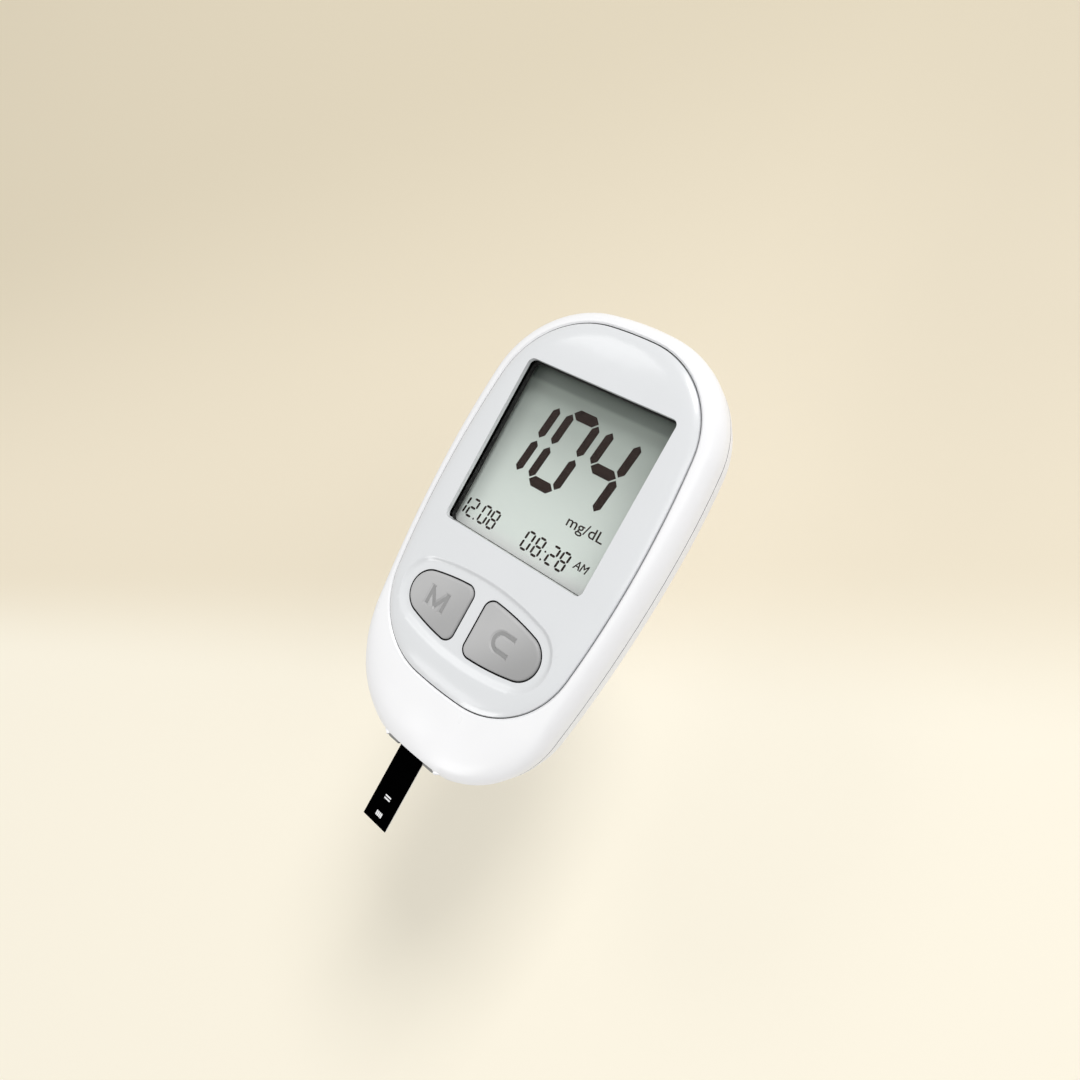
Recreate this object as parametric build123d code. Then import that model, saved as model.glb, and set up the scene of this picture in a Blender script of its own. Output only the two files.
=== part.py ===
from build123d import *
from collections import namedtuple
from math import atan2, cos, hypot, pi, sin, sqrt
import os

# A hand-held blood glucose meter with a test strip in its port.
# Frame: the meter lies on its back. +Z points out of the display face, +X to the right and
# +Y towards the top as the display is read. The origin is the middle of the flat back.
# All sizes are in millimetres. The heights stack up from the back: battery door, cells,
# circuit board, deck, face plate.

# ---- General ----------------------------------------------------------------------------
WALL = 1.8                       # moulded walls of the casing
FIT = 0.1                        # clearance between moulded parts
SLIDE_FIT = 0.2                  # clearance round what moves or is springy
TOUCH = 0.05                     # between a sprung contact and what it presses on

# ---- Casing outline ---------------------------------------------------------------------
# An egg-shaped outline is two half ovals that meet at the waist, each drawn with tangent
# arcs: a long side arc, a corner arc and an end arc that crosses the centre line.
Half = namedtuple("Half", "reach side corner end")
Egg = namedtuple("Egg", "half_width waist upper lower")

LENGTH = 92.0                    # casing from end to end
WIDTH = 51.0                     # casing at its waist
WAIST_Y = 11.0                   # where the casing is widest
CASE_TOP = LENGTH / 2
CASE_END = -LENGTH / 2
OUTLINE = Egg(WIDTH / 2, WAIST_Y,
              Half(CASE_TOP - WAIST_Y, 170.0, 20.0, 57.0),
              Half(WAIST_Y - CASE_END, 280.0, 20.0, 60.0))

SIDE_RIM = 2.7                   # white rim beside the face plate
TOP_RIM = 3.2                    # white rim above it
CHIN = 14.8                      # white slope between the face plate and the strip port
SEAM_WAIST_Y = 5.9
PLATE_TOP_Y = CASE_TOP - TOP_RIM
PLATE_END_Y = CASE_END + CHIN
SEAM = Egg(WIDTH / 2 - SIDE_RIM, SEAM_WAIST_Y,
           Half(PLATE_TOP_Y - SEAM_WAIST_Y, 186.0, 18.0, 80.0),
           Half(SEAM_WAIST_Y - PLATE_END_Y, 190.0, 17.0, 90.0))

# ---- Battery compartment: two AAA cells side by side -------------------------------------
CELL_RADIUS = 5.2
CELL_LENGTH = 43.7               # without the nub
CELL_NUB_RADIUS = 1.9
CELL_NUB_LENGTH = 0.8
CELL_GAP = 0.4                   # room round a cell
POSITIVE_ROOM = 1.2              # for the shallow contact at the nub
NEGATIVE_ROOM = 3.4              # for the long-travel contact at the flat end
CONTACT_THICKNESS = 0.3
CONTACT_WIDTH = 7.0
DOOR_THICKNESS = 1.5
BAY_WALL = 1.0
BAY_MIDDLE_Y = 3.6
CELL_X = CELL_RADIUS + CELL_GAP
CELL_Z = DOOR_THICKNESS + CELL_GAP + CELL_RADIUS
BAY_HALF_WIDTH = CELL_X + CELL_RADIUS + CELL_GAP
BAY_HALF_LENGTH = (CELL_LENGTH + CELL_NUB_LENGTH + POSITIVE_ROOM + NEGATIVE_ROOM) / 2
BAY_ROOF = CELL_Z + CELL_RADIUS + CELL_GAP
BAY_TOP_Y = BAY_MIDDLE_Y + BAY_HALF_LENGTH
BAY_END_Y = BAY_MIDDLE_Y - BAY_HALF_LENGTH

# ---- Heights of the stack ---------------------------------------------------------------
BOARD_THICKNESS = 1.0
BOARD_UNDER = BAY_ROOF + BAY_WALL + 0.4
BOARD_TOP = BOARD_UNDER + BOARD_THICKNESS
DECK_OVER_BOARD = 1.9
DECK_THICKNESS = 1.2
PLATE_RECESS = 1.8               # depth of the face plate's seat below the rim
CROWN = 1.0                      # rise of the face plate above the rim
DECK_UNDER = BOARD_TOP + DECK_OVER_BOARD
DECK_TOP = DECK_UNDER + DECK_THICKNESS
RIM_Z = DECK_TOP + PLATE_RECESS
FACE_Z = RIM_Z + CROWN
PARTING_Z = BAY_ROOF - 0.7       # top of the rear cover's outer wall
PARTING_GAP = 0.25               # even shadow line between both shells, which meet at the posts
WIDEST_Z = BOARD_TOP - 0.1

# ---- Casing form ------------------------------------------------------------------------
BACK_INSET = 7.0                 # how far the flat back lies inside the outline
BACK_POWER = 2.2                 # squareness of the back's curved edge
RIM_POWER = 2.3                  # squareness of the front's curved edge
DECK_LEDGE = 0.4                 # cavity's edge inside the seam
SEAM_BEVEL = 0.35                # eased edge of the rim along the seam
LIP_HEIGHT = 1.4
LIP_WALL = 0.8
LIP_INSET = WALL - LIP_WALL

# ---- Display ----------------------------------------------------------------------------
DISPLAY_Y = 14.4                 # middle of the display
WINDOW_WIDTH = 33.1
WINDOW_HEIGHT = 34.2
WINDOW_CORNER = 1.2
GLASS_MARGIN = 0.9               # glass hidden beside the window
REAR_MARGIN = 0.25               # rear glass hidden above and below the window
CONTACT_LEDGE = 1.3              # front glass beyond the rear glass, for the zebra strips
GLASS_WIDTH = WINDOW_WIDTH + 2 * GLASS_MARGIN
REAR_GLASS_HEIGHT = WINDOW_HEIGHT + 2 * REAR_MARGIN
GLASS_HEIGHT = REAR_GLASS_HEIGHT + 2 * CONTACT_LEDGE
DISPLAY_DEPTH = 3.4              # lens below the face plate's crown
LENS_THICKNESS = 0.6
GLASS_THICKNESS = 0.6
REFLECTOR_THICKNESS = 0.15
LENS_TOP = FACE_Z - DISPLAY_DEPTH
GLASS_TOP = LENS_TOP - LENS_THICKNESS
REAR_GLASS_TOP = GLASS_TOP - GLASS_THICKNESS
REFLECTOR_TOP = REAR_GLASS_TOP - GLASS_THICKNESS
REFLECTOR_UNDER = REFLECTOR_TOP - REFLECTOR_THICKNESS
HOLDER_WALL = 1.0
HOLDER_CORNER = 2.4
HOLDER_WIDTH = GLASS_WIDTH + SLIDE_FIT + 2 * HOLDER_WALL
HOLDER_HEIGHT = GLASS_HEIGHT + SLIDE_FIT + 2 * HOLDER_WALL
GASKET_WALL = 1.2
GASKET_GAP = 0.3                 # soft gasket is left uncompressed
ZEBRA_WIDTH = 0.9
ZEBRA_END_GAP = 0.7
ZEBRA_Y = GLASS_HEIGHT / 2 - CONTACT_LEDGE / 2

# ---- Face plate -------------------------------------------------------------------------
PLATE_GAP = 0.12
PLATE_EDGE_Z = DECK_TOP + 1.3    # top of the plate's upright edge
PLATE_CROWN_INSET = 6.5          # width of the rounded border
PLATE_POWER = 2.4
PLATE_THICKNESS = 1.85
PLATE_UNDER = FACE_Z - PLATE_THICKNESS
PLATE_SKIRT = 1.5
PLATE_PIN_RADIUS = 0.8

# ---- Buttons ----------------------------------------------------------------------------
BUTTONS_Y = PLATE_END_Y + 14.1
BUTTONS_HALF_WIDTH = 15.8        # both buttons together fill one oval
BUTTONS_HALF_HEIGHT = 5.75
BUTTONS_END_RADIUS = 4.3
BUTTON_BRIDGE = 3.2              # bridge of the face plate between them
BRIDGE_X = -0.85                 # the C button is a little wider than the M button
BUTTON_CORNER = 1.8
BUTTON_EDGE = 0.65
BUTTON_CLEARANCE = 0.3
BUTTON_TRAVEL = 0.6
BUTTON_TOP = FACE_Z - 0.25
FLANGE_WIDTH = 0.7
FLANGE_THICKNESS = 0.7
FLANGE_TOP = PLATE_UNDER - TOUCH
FLANGE_UNDER = FLANGE_TOP - FLANGE_THICKNESS
PLUNGER_RADIUS = 1.8
PLUNGER_LENGTH = 0.8
DISH_DEPTH = 0.75
DISH_MARGIN = 2.9                # dish beyond the buttons at its rim
DISH_SLOPE = 1.7                 # sideways run of the dish's rounded wall
DISH_SHIFT = 0.6                 # the wall is steep above the buttons and gentle below
DISH_STEPS = 5
MAT_THICKNESS = 0.7
MAT_TOP = BOARD_TOP + MAT_THICKNESS
DOME_RADIUS = 4.0
DOME_TOP_RADIUS = 2.4
DOME_WALL = 0.6
DOME_TOP = FLANGE_UNDER - PLUNGER_LENGTH - TOUCH

# ---- Circuit board ----------------------------------------------------------------------
BOARD_INSET = 2.5
BOARD_END_Y = CASE_END + 3.6
BOARD_TOP_Y = CASE_TOP - 4.0
PART_X = (BAY_HALF_WIDTH + BAY_WALL + WIDTH / 2 - BOARD_INSET) / 2
CHIP_THICKNESS = 1.0
BUZZER_RADIUS = 6.0
BUZZER_HEIGHT = 2.6
BUZZER_Y = BOARD_END_Y + BUZZER_RADIUS + 1.9

# ---- Screws -----------------------------------------------------------------------------
SCREW_RADIUS = 1.0
SCREW_HEAD_RADIUS = 1.9
SCREW_HEAD_HEIGHT = 1.2
SCREW_SEAT_Z = 3.2
SCREW_BITE = 4.8                 # length of thread in the front post
SCREW_FIT = 0.03
POST_RADIUS = 2.3                # front posts
REAR_POST_RADIUS = 3.0
POST_JOINT_Z = 8.0               # front and rear posts meet here
BOARD_SCREW_RADIUS = 0.8
BOARD_SCREW_HEAD_RADIUS = 1.5
BOARD_SCREW_HEAD_HEIGHT = 0.9
BOARD_SCREW_BITE = 2.4
BOARD_POST_RADIUS = 1.9
UPPER_SCREW_X = 9.5
UPPER_SCREW_Y = DISPLAY_Y + HOLDER_HEIGHT / 2 + POST_RADIUS + 0.3
LOWER_SCREW_X = 13.2

# ---- Battery door -----------------------------------------------------------------------
DOOR_MARGIN = 2.3                # door beyond the bay's sides and top
HOOK_REACH = 1.9                 # hooks beyond the door's lower edge
HOOK_THICKNESS = 0.9
HOOK_TOP = WALL + FIT + HOOK_THICKNESS
HOOK_X = 7.0
HOOK_WIDTH = 4.0
HOOK_NECK = 1.2
HINGE_MARGIN = hypot(HOOK_REACH, HOOK_TOP) + BAY_WALL + SLIDE_FIT
DOOR_GAP = 0.15
DOOR_CORNER = 2.0
DOOR_TOP_Y = BAY_TOP_Y + DOOR_MARGIN
DOOR_END_Y = BAY_END_Y - HINGE_MARGIN
DOOR_HALF_WIDTH = BAY_HALF_WIDTH + DOOR_MARGIN
DOOR_LENGTH = DOOR_TOP_Y - DOOR_END_Y
DOOR_MIDDLE_Y = (DOOR_TOP_Y + DOOR_END_Y) / 2
LEDGE_THICKNESS = 1.2
GRIP_RIBS = 5
GRIP_PITCH = 1.6
GRIP_RADIUS = 0.4
GRIP_WIDTH = 10.0
LATCH_HALF_WIDTH = 7.0
LATCH_SLOT = 0.6
LATCH_LENGTH = 6.0
SADDLE_WIDTH = 6.0
SADDLE_HEIGHT = 1.2
SIDE_RIBS = 4
SIDE_RIB_PITCH = 12.0
SIDE_RIB_THICKNESS = 1.0
SIDE_RIB_TOP = 8.0

UNDER_BUTTONS_Y = BUTTONS_Y - BUTTONS_HALF_HEIGHT - FLANGE_WIDTH - SLIDE_FIT
LOWER_SCREW_Y = min(DOOR_END_Y - REAR_POST_RADIUS - 1.0, UNDER_BUTTONS_Y - POST_RADIUS - 0.4)
CASE_SCREWS = [(UPPER_SCREW_X, UPPER_SCREW_Y), (-UPPER_SCREW_X, UPPER_SCREW_Y),
               (LOWER_SCREW_X, LOWER_SCREW_Y), (-LOWER_SCREW_X, LOWER_SCREW_Y)]
BOARD_SCREW_X = HOLDER_WIDTH / 2 + 0.9
BOARD_SCREW_Y = DISPLAY_Y - HOLDER_HEIGHT / 2 - BOARD_POST_RADIUS - 1.3
BOARD_SCREWS = [(BOARD_SCREW_X, BOARD_SCREW_Y), (-BOARD_SCREW_X, BOARD_SCREW_Y),
                (0.0, UPPER_SCREW_Y + 1.6)]
PLATE_PINS = [(9.0, BOARD_SCREW_Y + 0.6), (-9.0, BOARD_SCREW_Y + 0.6),
              (5.0, UPPER_SCREW_Y), (-5.0, UPPER_SCREW_Y),
              (8.6, PLATE_END_Y + 4.6), (-8.6, PLATE_END_Y + 4.6)]

# ---- Test strip and its port ------------------------------------------------------------
STRIP_WIDTH = 6.2
STRIP_LENGTH = 30.0
STRIP_OUT = 14.6                 # strip beyond the casing's end
STRIP_BASE = 0.25
STRIP_COVER = 0.15
STRIP_BARE = 8.0                 # bare contacts at the inner end
STRIP_OVER_BOARD = 0.8
STRIP_UNDER = BOARD_TOP + STRIP_OVER_BOARD
STRIP_TOP = STRIP_UNDER + STRIP_BASE + STRIP_COVER
STRIP_TIP_Y = CASE_END - STRIP_OUT
STRIP_END_Y = STRIP_TIP_Y + STRIP_LENGTH
SLOT_SIDE = 0.3
SLOT_ABOVE = 0.2
GUIDE_FLOOR = 1.3                # guide below the strip
GUIDE_ROOF = 0.6                 # guide above it
GUIDE_SIDE = 3.3
PORT_HALF_WIDTH = STRIP_WIDTH / 2 + SLOT_SIDE + GUIDE_SIDE + FIT
PORT_FLOOR = STRIP_UNDER - GUIDE_FLOOR - FIT
PORT_ROOF = STRIP_TOP + GUIDE_ROOF + FIT
PORT_LIP_Y = CASE_END + 1.3      # the casing's lip is set back between the port's ends
PORT_CORNER = 1.1
EAR_RADIUS = 0.95                # rounded ear of the casing at each end of the port
EAR_Y = CASE_END + EAR_RADIUS + 0.15
EAR_Z = PORT_ROOF - 0.6
GUIDE_FRONT_Y = CASE_END + 0.7
GUIDE_BACK_Y = CASE_END + 3.1
CONNECTOR_WALL = 2.6
CONNECTOR_HALF_WIDTH = STRIP_WIDTH / 2 + SLOT_SIDE + CONNECTOR_WALL
CONNECTOR_FRONT_Y = GUIDE_BACK_Y + 0.6
CONNECTOR_BACK_Y = STRIP_END_Y + 1.6
CONNECTOR_TOP = STRIP_TOP + 0.9
SPRING_COUNT = 5
SPRING_PITCH = 1.1
SPRING_WIDTH = 0.5
SPRING_THICKNESS = 0.15
SPRING_REACH = 5.0               # touching point from the strip's inner end


# ---- Outline helpers --------------------------------------------------------------------
def inset(egg, distance):
    """The parallel outline that lies a distance inside this one."""
    return Egg(egg.half_width - distance, egg.waist,
               Half(*(size - distance for size in egg.upper)),
               Half(*(size - distance for size in egg.lower)))


def mix(a, b, share):
    return a + (b - a) * share


def blend(first, second, share):
    """An outline part of the way from the first to the second."""
    upper = Half(*(mix(a, b, share) for a, b in zip(first.upper, second.upper)))
    lower = Half(*(mix(a, b, share) for a, b in zip(first.lower, second.lower)))
    return Egg(mix(first.half_width, second.half_width, share),
               mix(first.waist, second.waist, share), upper, lower)


def quarter_arcs(half_width, half):
    """Side, corner and end arc of one quarter, each as centre, radius and two angles."""
    side = (half_width - half.side, 0.0)
    end = (0.0, half.reach - half.end)
    span = hypot(end[0] - side[0], end[1] - side[1])
    from_side = half.side - half.corner
    from_end = half.end - half.corner
    along = (span ** 2 + from_side ** 2 - from_end ** 2) / (2 * span)
    across = sqrt(from_side ** 2 - along ** 2)
    way_x = (end[0] - side[0]) / span
    way_y = (end[1] - side[1]) / span
    found = [(side[0] + way_x * along + turn * way_y * across,
              side[1] + way_y * along - turn * way_x * across) for turn in (1, -1)]
    corner = max(found, key=sum)
    leaves_side = atan2(corner[1] - side[1], corner[0] - side[0])
    meets_end = atan2(corner[1] - end[1], corner[0] - end[0])
    return [(side, half.side, 0.0, leaves_side),
            (corner, half.corner, leaves_side, meets_end),
            (end, half.end, meets_end, pi / 2)]


def egg_face(egg, z):
    """The outline's face at a height, as one wire of twelve tangent arcs."""
    def points(arc, mirror_x, mirror_y):
        (x, y), radius, start, stop = arc
        return [Vector(mirror_x * (x + radius * cos(angle)),
                       egg.waist + mirror_y * (y + radius * sin(angle)), z)
                for angle in (start, (start + stop) / 2, stop)]

    upper = quarter_arcs(egg.half_width, egg.upper)
    lower = quarter_arcs(egg.half_width, egg.lower)
    runs = [points(arc, 1, 1) for arc in upper]
    runs += [points(arc, -1, 1)[::-1] for arc in reversed(upper)]
    runs += [points(arc, -1, -1) for arc in lower]
    runs += [points(arc, 1, -1)[::-1] for arc in reversed(lower)]
    return Face(Wire([Edge.make_three_point_arc(*run) for run in runs]))


def egg_prism(egg, low, high):
    return Solid.extrude(egg_face(egg, low), Vector(0, 0, high - low))


def bowl(outline, floor_z, steps):
    """The casing's lower half: the outline drawn in towards a flat back."""
    rings = []
    for step in range(steps + 1):
        angle = pi / 2 * (1 - step / steps)
        drawn_in = BACK_INSET * (1 - abs(cos(angle)) ** (2 / BACK_POWER))
        height = WIDEST_Z - (WIDEST_Z - floor_z) * sin(angle) ** (2 / BACK_POWER)
        rings.append(egg_face(inset(outline, drawn_in), height))
    return loft(rings, ruled=True)


def shoulder(outline, top_outline, low, high, power, steps):
    """A rounded shoulder from an outline up and in to a smaller one."""
    rings = []
    for step in range(steps + 1):
        angle = pi / 2 * step / steps
        share = 1 - abs(cos(angle)) ** (2 / power)
        height = low + (high - low) * sin(angle) ** (2 / power)
        rings.append(egg_face(blend(outline, top_outline, share), height))
    return loft(rings, ruled=True)


def oval(half_width, half_height, end_radius):
    """A flat oval of four arcs: tight at both ends, nearly straight above and below."""
    rise = half_height - end_radius
    reach = half_width - end_radius
    flat_radius = (reach ** 2 + half_height ** 2 - end_radius ** 2) / (2 * rise)
    drop = flat_radius - half_height
    scale = flat_radius / hypot(reach, drop)
    meet_x = reach * scale
    meet_y = drop * scale - drop
    top = ThreePointArc((-meet_x, meet_y), (0, half_height), (meet_x, meet_y))
    right = ThreePointArc((meet_x, meet_y), (half_width, 0), (meet_x, -meet_y))
    low = ThreePointArc((meet_x, -meet_y), (0, -half_height), (-meet_x, -meet_y))
    left = ThreePointArc((-meet_x, -meet_y), (-half_width, 0), (-meet_x, meet_y))
    return make_face([top, right, low, left])


def keys_oval(grow):
    """The oval round both buttons, grown or shrunk all round."""
    return oval(BUTTONS_HALF_WIDTH + grow, BUTTONS_HALF_HEIGHT + grow,
                BUTTONS_END_RADIUS + grow)


# ---- Solid helpers ----------------------------------------------------------------------
def block(x_span, y_span, z_span):
    """A box between two places on each axis."""
    size = [span[1] - span[0] for span in (x_span, y_span, z_span)]
    middle = [(span[0] + span[1]) / 2 for span in (x_span, y_span, z_span)]
    return Pos(*middle) * Box(*size)


def rod(x, y, radius, low, high):
    """An upright cylinder."""
    return Pos(x, y, (low + high) / 2) * Cylinder(radius, high - low)


def slab(sketch, x, y, low, high):
    """A flat shape as thick as from low to high."""
    return extrude(Pos(x, y, low) * sketch, amount=high - low)


def strip_of(profile, x, width):
    """A profile in Y and Z, drawn out along X and centred on x."""
    side = Plane(origin=(x - width / 2, 0, 0), x_dir=(0, 1, 0), z_dir=(1, 0, 0))
    return extrude(side * profile, amount=width, dir=(1, 0, 0))


# ---- Buttons ----------------------------------------------------------------------------
def button_sketch(side, grow=0.0):
    """One half of the oval, cut off at the bridge, grown or shrunk all round."""
    inner_edge = BUTTON_BRIDGE / 2 - grow
    outer_edge = BUTTONS_HALF_WIDTH + grow + abs(BRIDGE_X) + 1
    keep = Pos(BRIDGE_X + side * (inner_edge + outer_edge) / 2, 0) * Rectangle(
        outer_edge - inner_edge, outer_edge)
    half = keys_oval(grow) & keep
    corners = [corner for corner in half.vertices()
               if abs(corner.X - BRIDGE_X) < inner_edge + 0.01]
    return fillet(corners, BUTTON_CORNER + grow)


def key_x(side):
    """The middle of a key, between the bridge and the key's outer end."""
    return (BRIDGE_X + side * (BUTTONS_HALF_WIDTH + BUTTON_BRIDGE / 2)) / 2


def button(side):
    """A cap with a soft top edge, a hidden flange and a plunger over its rubber dome."""
    cap = slab(button_sketch(side), 0, BUTTONS_Y, FLANGE_UNDER, BUTTON_TOP)
    cap = fillet(cap.edges().group_by(Axis.Z)[-1], BUTTON_EDGE)
    flange = slab(button_sketch(side, FLANGE_WIDTH), 0, BUTTONS_Y, FLANGE_UNDER, FLANGE_TOP)
    plunger = rod(key_x(side), BUTTONS_Y, PLUNGER_RADIUS, FLANGE_UNDER - PLUNGER_LENGTH,
                  FLANGE_TOP)
    return cap + flange + plunger


def key_dome(side):
    """A hollow silicone dome on the mat, which gives the key its click and return."""
    height = DOME_TOP - MAT_TOP
    outer = Pos(0, 0, height / 2) * Cone(DOME_RADIUS, DOME_TOP_RADIUS, height)
    hollow_height = height - DOME_WALL
    hollow = Pos(0, 0, hollow_height / 2) * Cone(
        DOME_RADIUS - DOME_WALL, DOME_TOP_RADIUS - DOME_WALL / 2, hollow_height)
    return Pos(key_x(side), BUTTONS_Y, MAT_TOP) * (outer - hollow)


def keypad_mat():
    """The silicone sheet under both keys, open under each dome."""
    mat = slab(keys_oval(0), 0, BUTTONS_Y, BOARD_TOP, MAT_TOP)
    for side in (-1, 1):
        mat -= rod(key_x(side), BUTTONS_Y, DOME_RADIUS - DOME_WALL, BOARD_TOP - 1, MAT_TOP + 1)
    return mat


# ---- Face plate -------------------------------------------------------------------------
def dish():
    """The shallow bed of the buttons. Its wall rolls over at the rim and out at the floor."""
    rings = []
    for step in range(DISH_STEPS + 1):
        share = step / DISH_STEPS
        ring = keys_oval(DISH_MARGIN - DISH_SLOPE * (1 - share))
        depth = DISH_DEPTH * (1 + cos(pi * share)) / 2
        rings.append(Pos(0, BUTTONS_Y + DISH_SHIFT * (1 - share), FACE_Z - depth) * ring)
    return loft(rings, ruled=True)


def face_plate():
    """The grey crowned plate with its display window and the dished bed of the buttons."""
    rim = inset(SEAM, PLATE_GAP)
    crown = inset(rim, PLATE_CROWN_INSET)
    plate = egg_prism(rim, DECK_TOP, PLATE_EDGE_Z)
    plate += shoulder(rim, crown, PLATE_EDGE_Z, FACE_Z, PLATE_POWER, 6)
    plate -= egg_prism(inset(rim, PLATE_SKIRT), DECK_TOP - 1, PLATE_UNDER)
    plate -= dish()
    window = RectangleRounded(WINDOW_WIDTH, WINDOW_HEIGHT, WINDOW_CORNER)
    plate -= slab(window, 0, DISPLAY_Y, DECK_TOP - 1, FACE_Z + 1)
    for side in (-1, 1):
        plate -= slab(button_sketch(side, BUTTON_CLEARANCE), 0, BUTTONS_Y,
                      DECK_TOP - 1, FACE_Z + 1)
    for x, y in PLATE_PINS:
        plate += rod(x, y, PLATE_PIN_RADIUS, DECK_UNDER + FIT, PLATE_UNDER + 0.2)
    return plate


# ---- Front case -------------------------------------------------------------------------
def outline_ring(outer, inner, low, high):
    """A ring that follows the casing between two insets of its outline."""
    return egg_prism(inset(OUTLINE, outer), low, high) - egg_prism(
        inset(OUTLINE, inner), low - 1, high + 1)


def above(low):
    return block((-WIDTH, WIDTH), (-LENGTH, LENGTH), (low, FACE_Z + 1))


def front_case():
    """The white upper shell: rounded shoulder, deck, posts and the strip port."""
    shell = bowl(OUTLINE, 0.0, 6) & above(PARTING_Z + PARTING_GAP)
    shell += shoulder(OUTLINE, SEAM, WIDEST_Z, RIM_Z, RIM_POWER, 7)
    for side in (-1, 1):
        shell += rod(side * PORT_HALF_WIDTH, EAR_Y, EAR_RADIUS, PORT_FLOOR, EAR_Z)
        shell += Pos(side * PORT_HALF_WIDTH, EAR_Y, EAR_Z) * Sphere(EAR_RADIUS)
    inner = inset(OUTLINE, WALL)
    shell -= egg_prism(inner, PARTING_Z - 1, WIDEST_Z)
    shell -= shoulder(inner, inset(SEAM, DECK_LEDGE), WIDEST_Z, DECK_UNDER, RIM_POWER, 2)
    shell -= egg_prism(SEAM, DECK_TOP, FACE_Z)
    shell -= loft([egg_face(SEAM, RIM_Z - SEAM_BEVEL),
                   egg_face(inset(SEAM, -2 * SEAM_BEVEL), RIM_Z + SEAM_BEVEL)], ruled=True)
    display_hole = RectangleRounded(HOLDER_WIDTH + SLIDE_FIT, HOLDER_HEIGHT + SLIDE_FIT,
                                    HOLDER_CORNER)
    shell -= slab(display_hole, 0, DISPLAY_Y, DECK_UNDER - 1, DECK_TOP + 1)
    shell -= slab(keys_oval(FLANGE_WIDTH + SLIDE_FIT), 0, BUTTONS_Y,
                  DECK_UNDER - 1, DECK_TOP + 1)
    shell -= outline_ring(LIP_INSET - FIT, WALL + 1, PARTING_Z - 1, PARTING_Z + LIP_HEIGHT + FIT)
    for x, y in CASE_SCREWS:
        shell += rod(x, y, POST_RADIUS, POST_JOINT_Z, DECK_UNDER + 0.2)
        shell -= rod(x, y, SCREW_RADIUS + SCREW_FIT, POST_JOINT_Z - 1,
                     POST_JOINT_Z + SCREW_BITE + 0.4)
    for x, y in BOARD_SCREWS:
        shell += rod(x, y, BOARD_POST_RADIUS, BOARD_TOP, DECK_UNDER + 0.2)
        shell -= rod(x, y, BOARD_SCREW_RADIUS + SCREW_FIT, BOARD_TOP - 1,
                     BOARD_TOP + BOARD_SCREW_BITE + 0.2)
    for x, y in PLATE_PINS:
        shell -= rod(x, y, PLATE_PIN_RADIUS + FIT, DECK_UNDER - 1, DECK_TOP + 1)
    bite_depth = 6.0
    bite = RectangleRounded(2 * PORT_HALF_WIDTH, 2 * bite_depth, PORT_CORNER)
    shell -= slab(bite, 0, PORT_LIP_Y - bite_depth, PORT_FLOOR, FACE_Z)
    shell -= block((-PORT_HALF_WIDTH, PORT_HALF_WIDTH), (PORT_LIP_Y - 1, GUIDE_BACK_Y + 0.4),
                   (PORT_FLOOR, PORT_ROOF))
    shell -= block((-CONNECTOR_HALF_WIDTH - SLIDE_FIT, CONNECTOR_HALF_WIDTH + SLIDE_FIT),
                   (GUIDE_BACK_Y, CONNECTOR_BACK_Y + 2.0),
                   (BOARD_TOP, CONNECTOR_TOP + SLIDE_FIT))
    return shell


# ---- Rear cover -------------------------------------------------------------------------
def rear_cover():
    """The lower shell with the battery bay, the door's bed, posts and stiffening ribs."""
    shell = bowl(OUTLINE, 0.0, 6) - above(PARTING_Z)
    shell -= bowl(inset(OUTLINE, WALL), WALL, 3)
    shell += outline_ring(LIP_INSET, WALL, PARTING_Z - 1, PARTING_Z + LIP_HEIGHT)
    outer_x = BAY_HALF_WIDTH + BAY_WALL
    shell += block((-outer_x, outer_x), (BAY_END_Y - BAY_WALL, BAY_TOP_Y + BAY_WALL),
                   (WALL / 2, BAY_ROOF + BAY_WALL))
    ledge_x = DOOR_HALF_WIDTH + 1.0
    shell += block((-ledge_x, ledge_x), (DOOR_END_Y - 1.0, DOOR_TOP_Y + 1.0),
                   (WALL / 2, DOOR_THICKNESS + FIT + LEDGE_THICKNESS))
    shell += side_ribs()
    shell -= block((-BAY_HALF_WIDTH, BAY_HALF_WIDTH), (BAY_END_Y, BAY_TOP_Y), (-1, BAY_ROOF))
    bed = RectangleRounded(2 * (DOOR_HALF_WIDTH + DOOR_GAP), DOOR_LENGTH + 2 * DOOR_GAP,
                           DOOR_CORNER + DOOR_GAP)
    shell -= slab(bed, 0, DOOR_MIDDLE_Y, -1, DOOR_THICKNESS + FIT)
    for side in (-1, 1):
        pocket_x = (side * HOOK_X - HOOK_WIDTH / 2 - SLIDE_FIT,
                    side * HOOK_X + HOOK_WIDTH / 2 + SLIDE_FIT)
        pocket_end = DOOR_END_Y - HOOK_REACH - SLIDE_FIT
        shell -= block(pocket_x, (pocket_end, BAY_END_Y - BAY_WALL), (WALL, HOOK_TOP + 1))
        shell -= block(pocket_x, (DOOR_END_Y, BAY_END_Y - BAY_WALL),
                       (DOOR_THICKNESS, HOOK_TOP + 1))
    for x, y in CASE_SCREWS:
        shell += rod(x, y, REAR_POST_RADIUS, WALL / 2, POST_JOINT_Z)
        shell -= rod(x, y, SCREW_HEAD_RADIUS + SLIDE_FIT, -1, SCREW_SEAT_Z)
        shell -= rod(x, y, SCREW_RADIUS + FIT, 0, POST_JOINT_Z + 1)
    for x in (-CELL_X, CELL_X):
        shell -= terminal_bend(x, FIT / 2)
    return shell


def side_ribs():
    """Cross ribs between the bay and the sides, which stiffen the curved back."""
    inside = bowl(inset(OUTLINE, WALL / 2), WALL / 2, 3)
    half = SIDE_RIB_THICKNESS / 2
    ribs = []
    for index in range(SIDE_RIBS):
        y = BAY_MIDDLE_Y + (index - (SIDE_RIBS - 1) / 2) * SIDE_RIB_PITCH
        ribs.append(block((-WIDTH / 2, WIDTH / 2), (y - half, y + half),
                          (WALL / 2, SIDE_RIB_TOP)) & inside)
    return ribs


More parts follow.
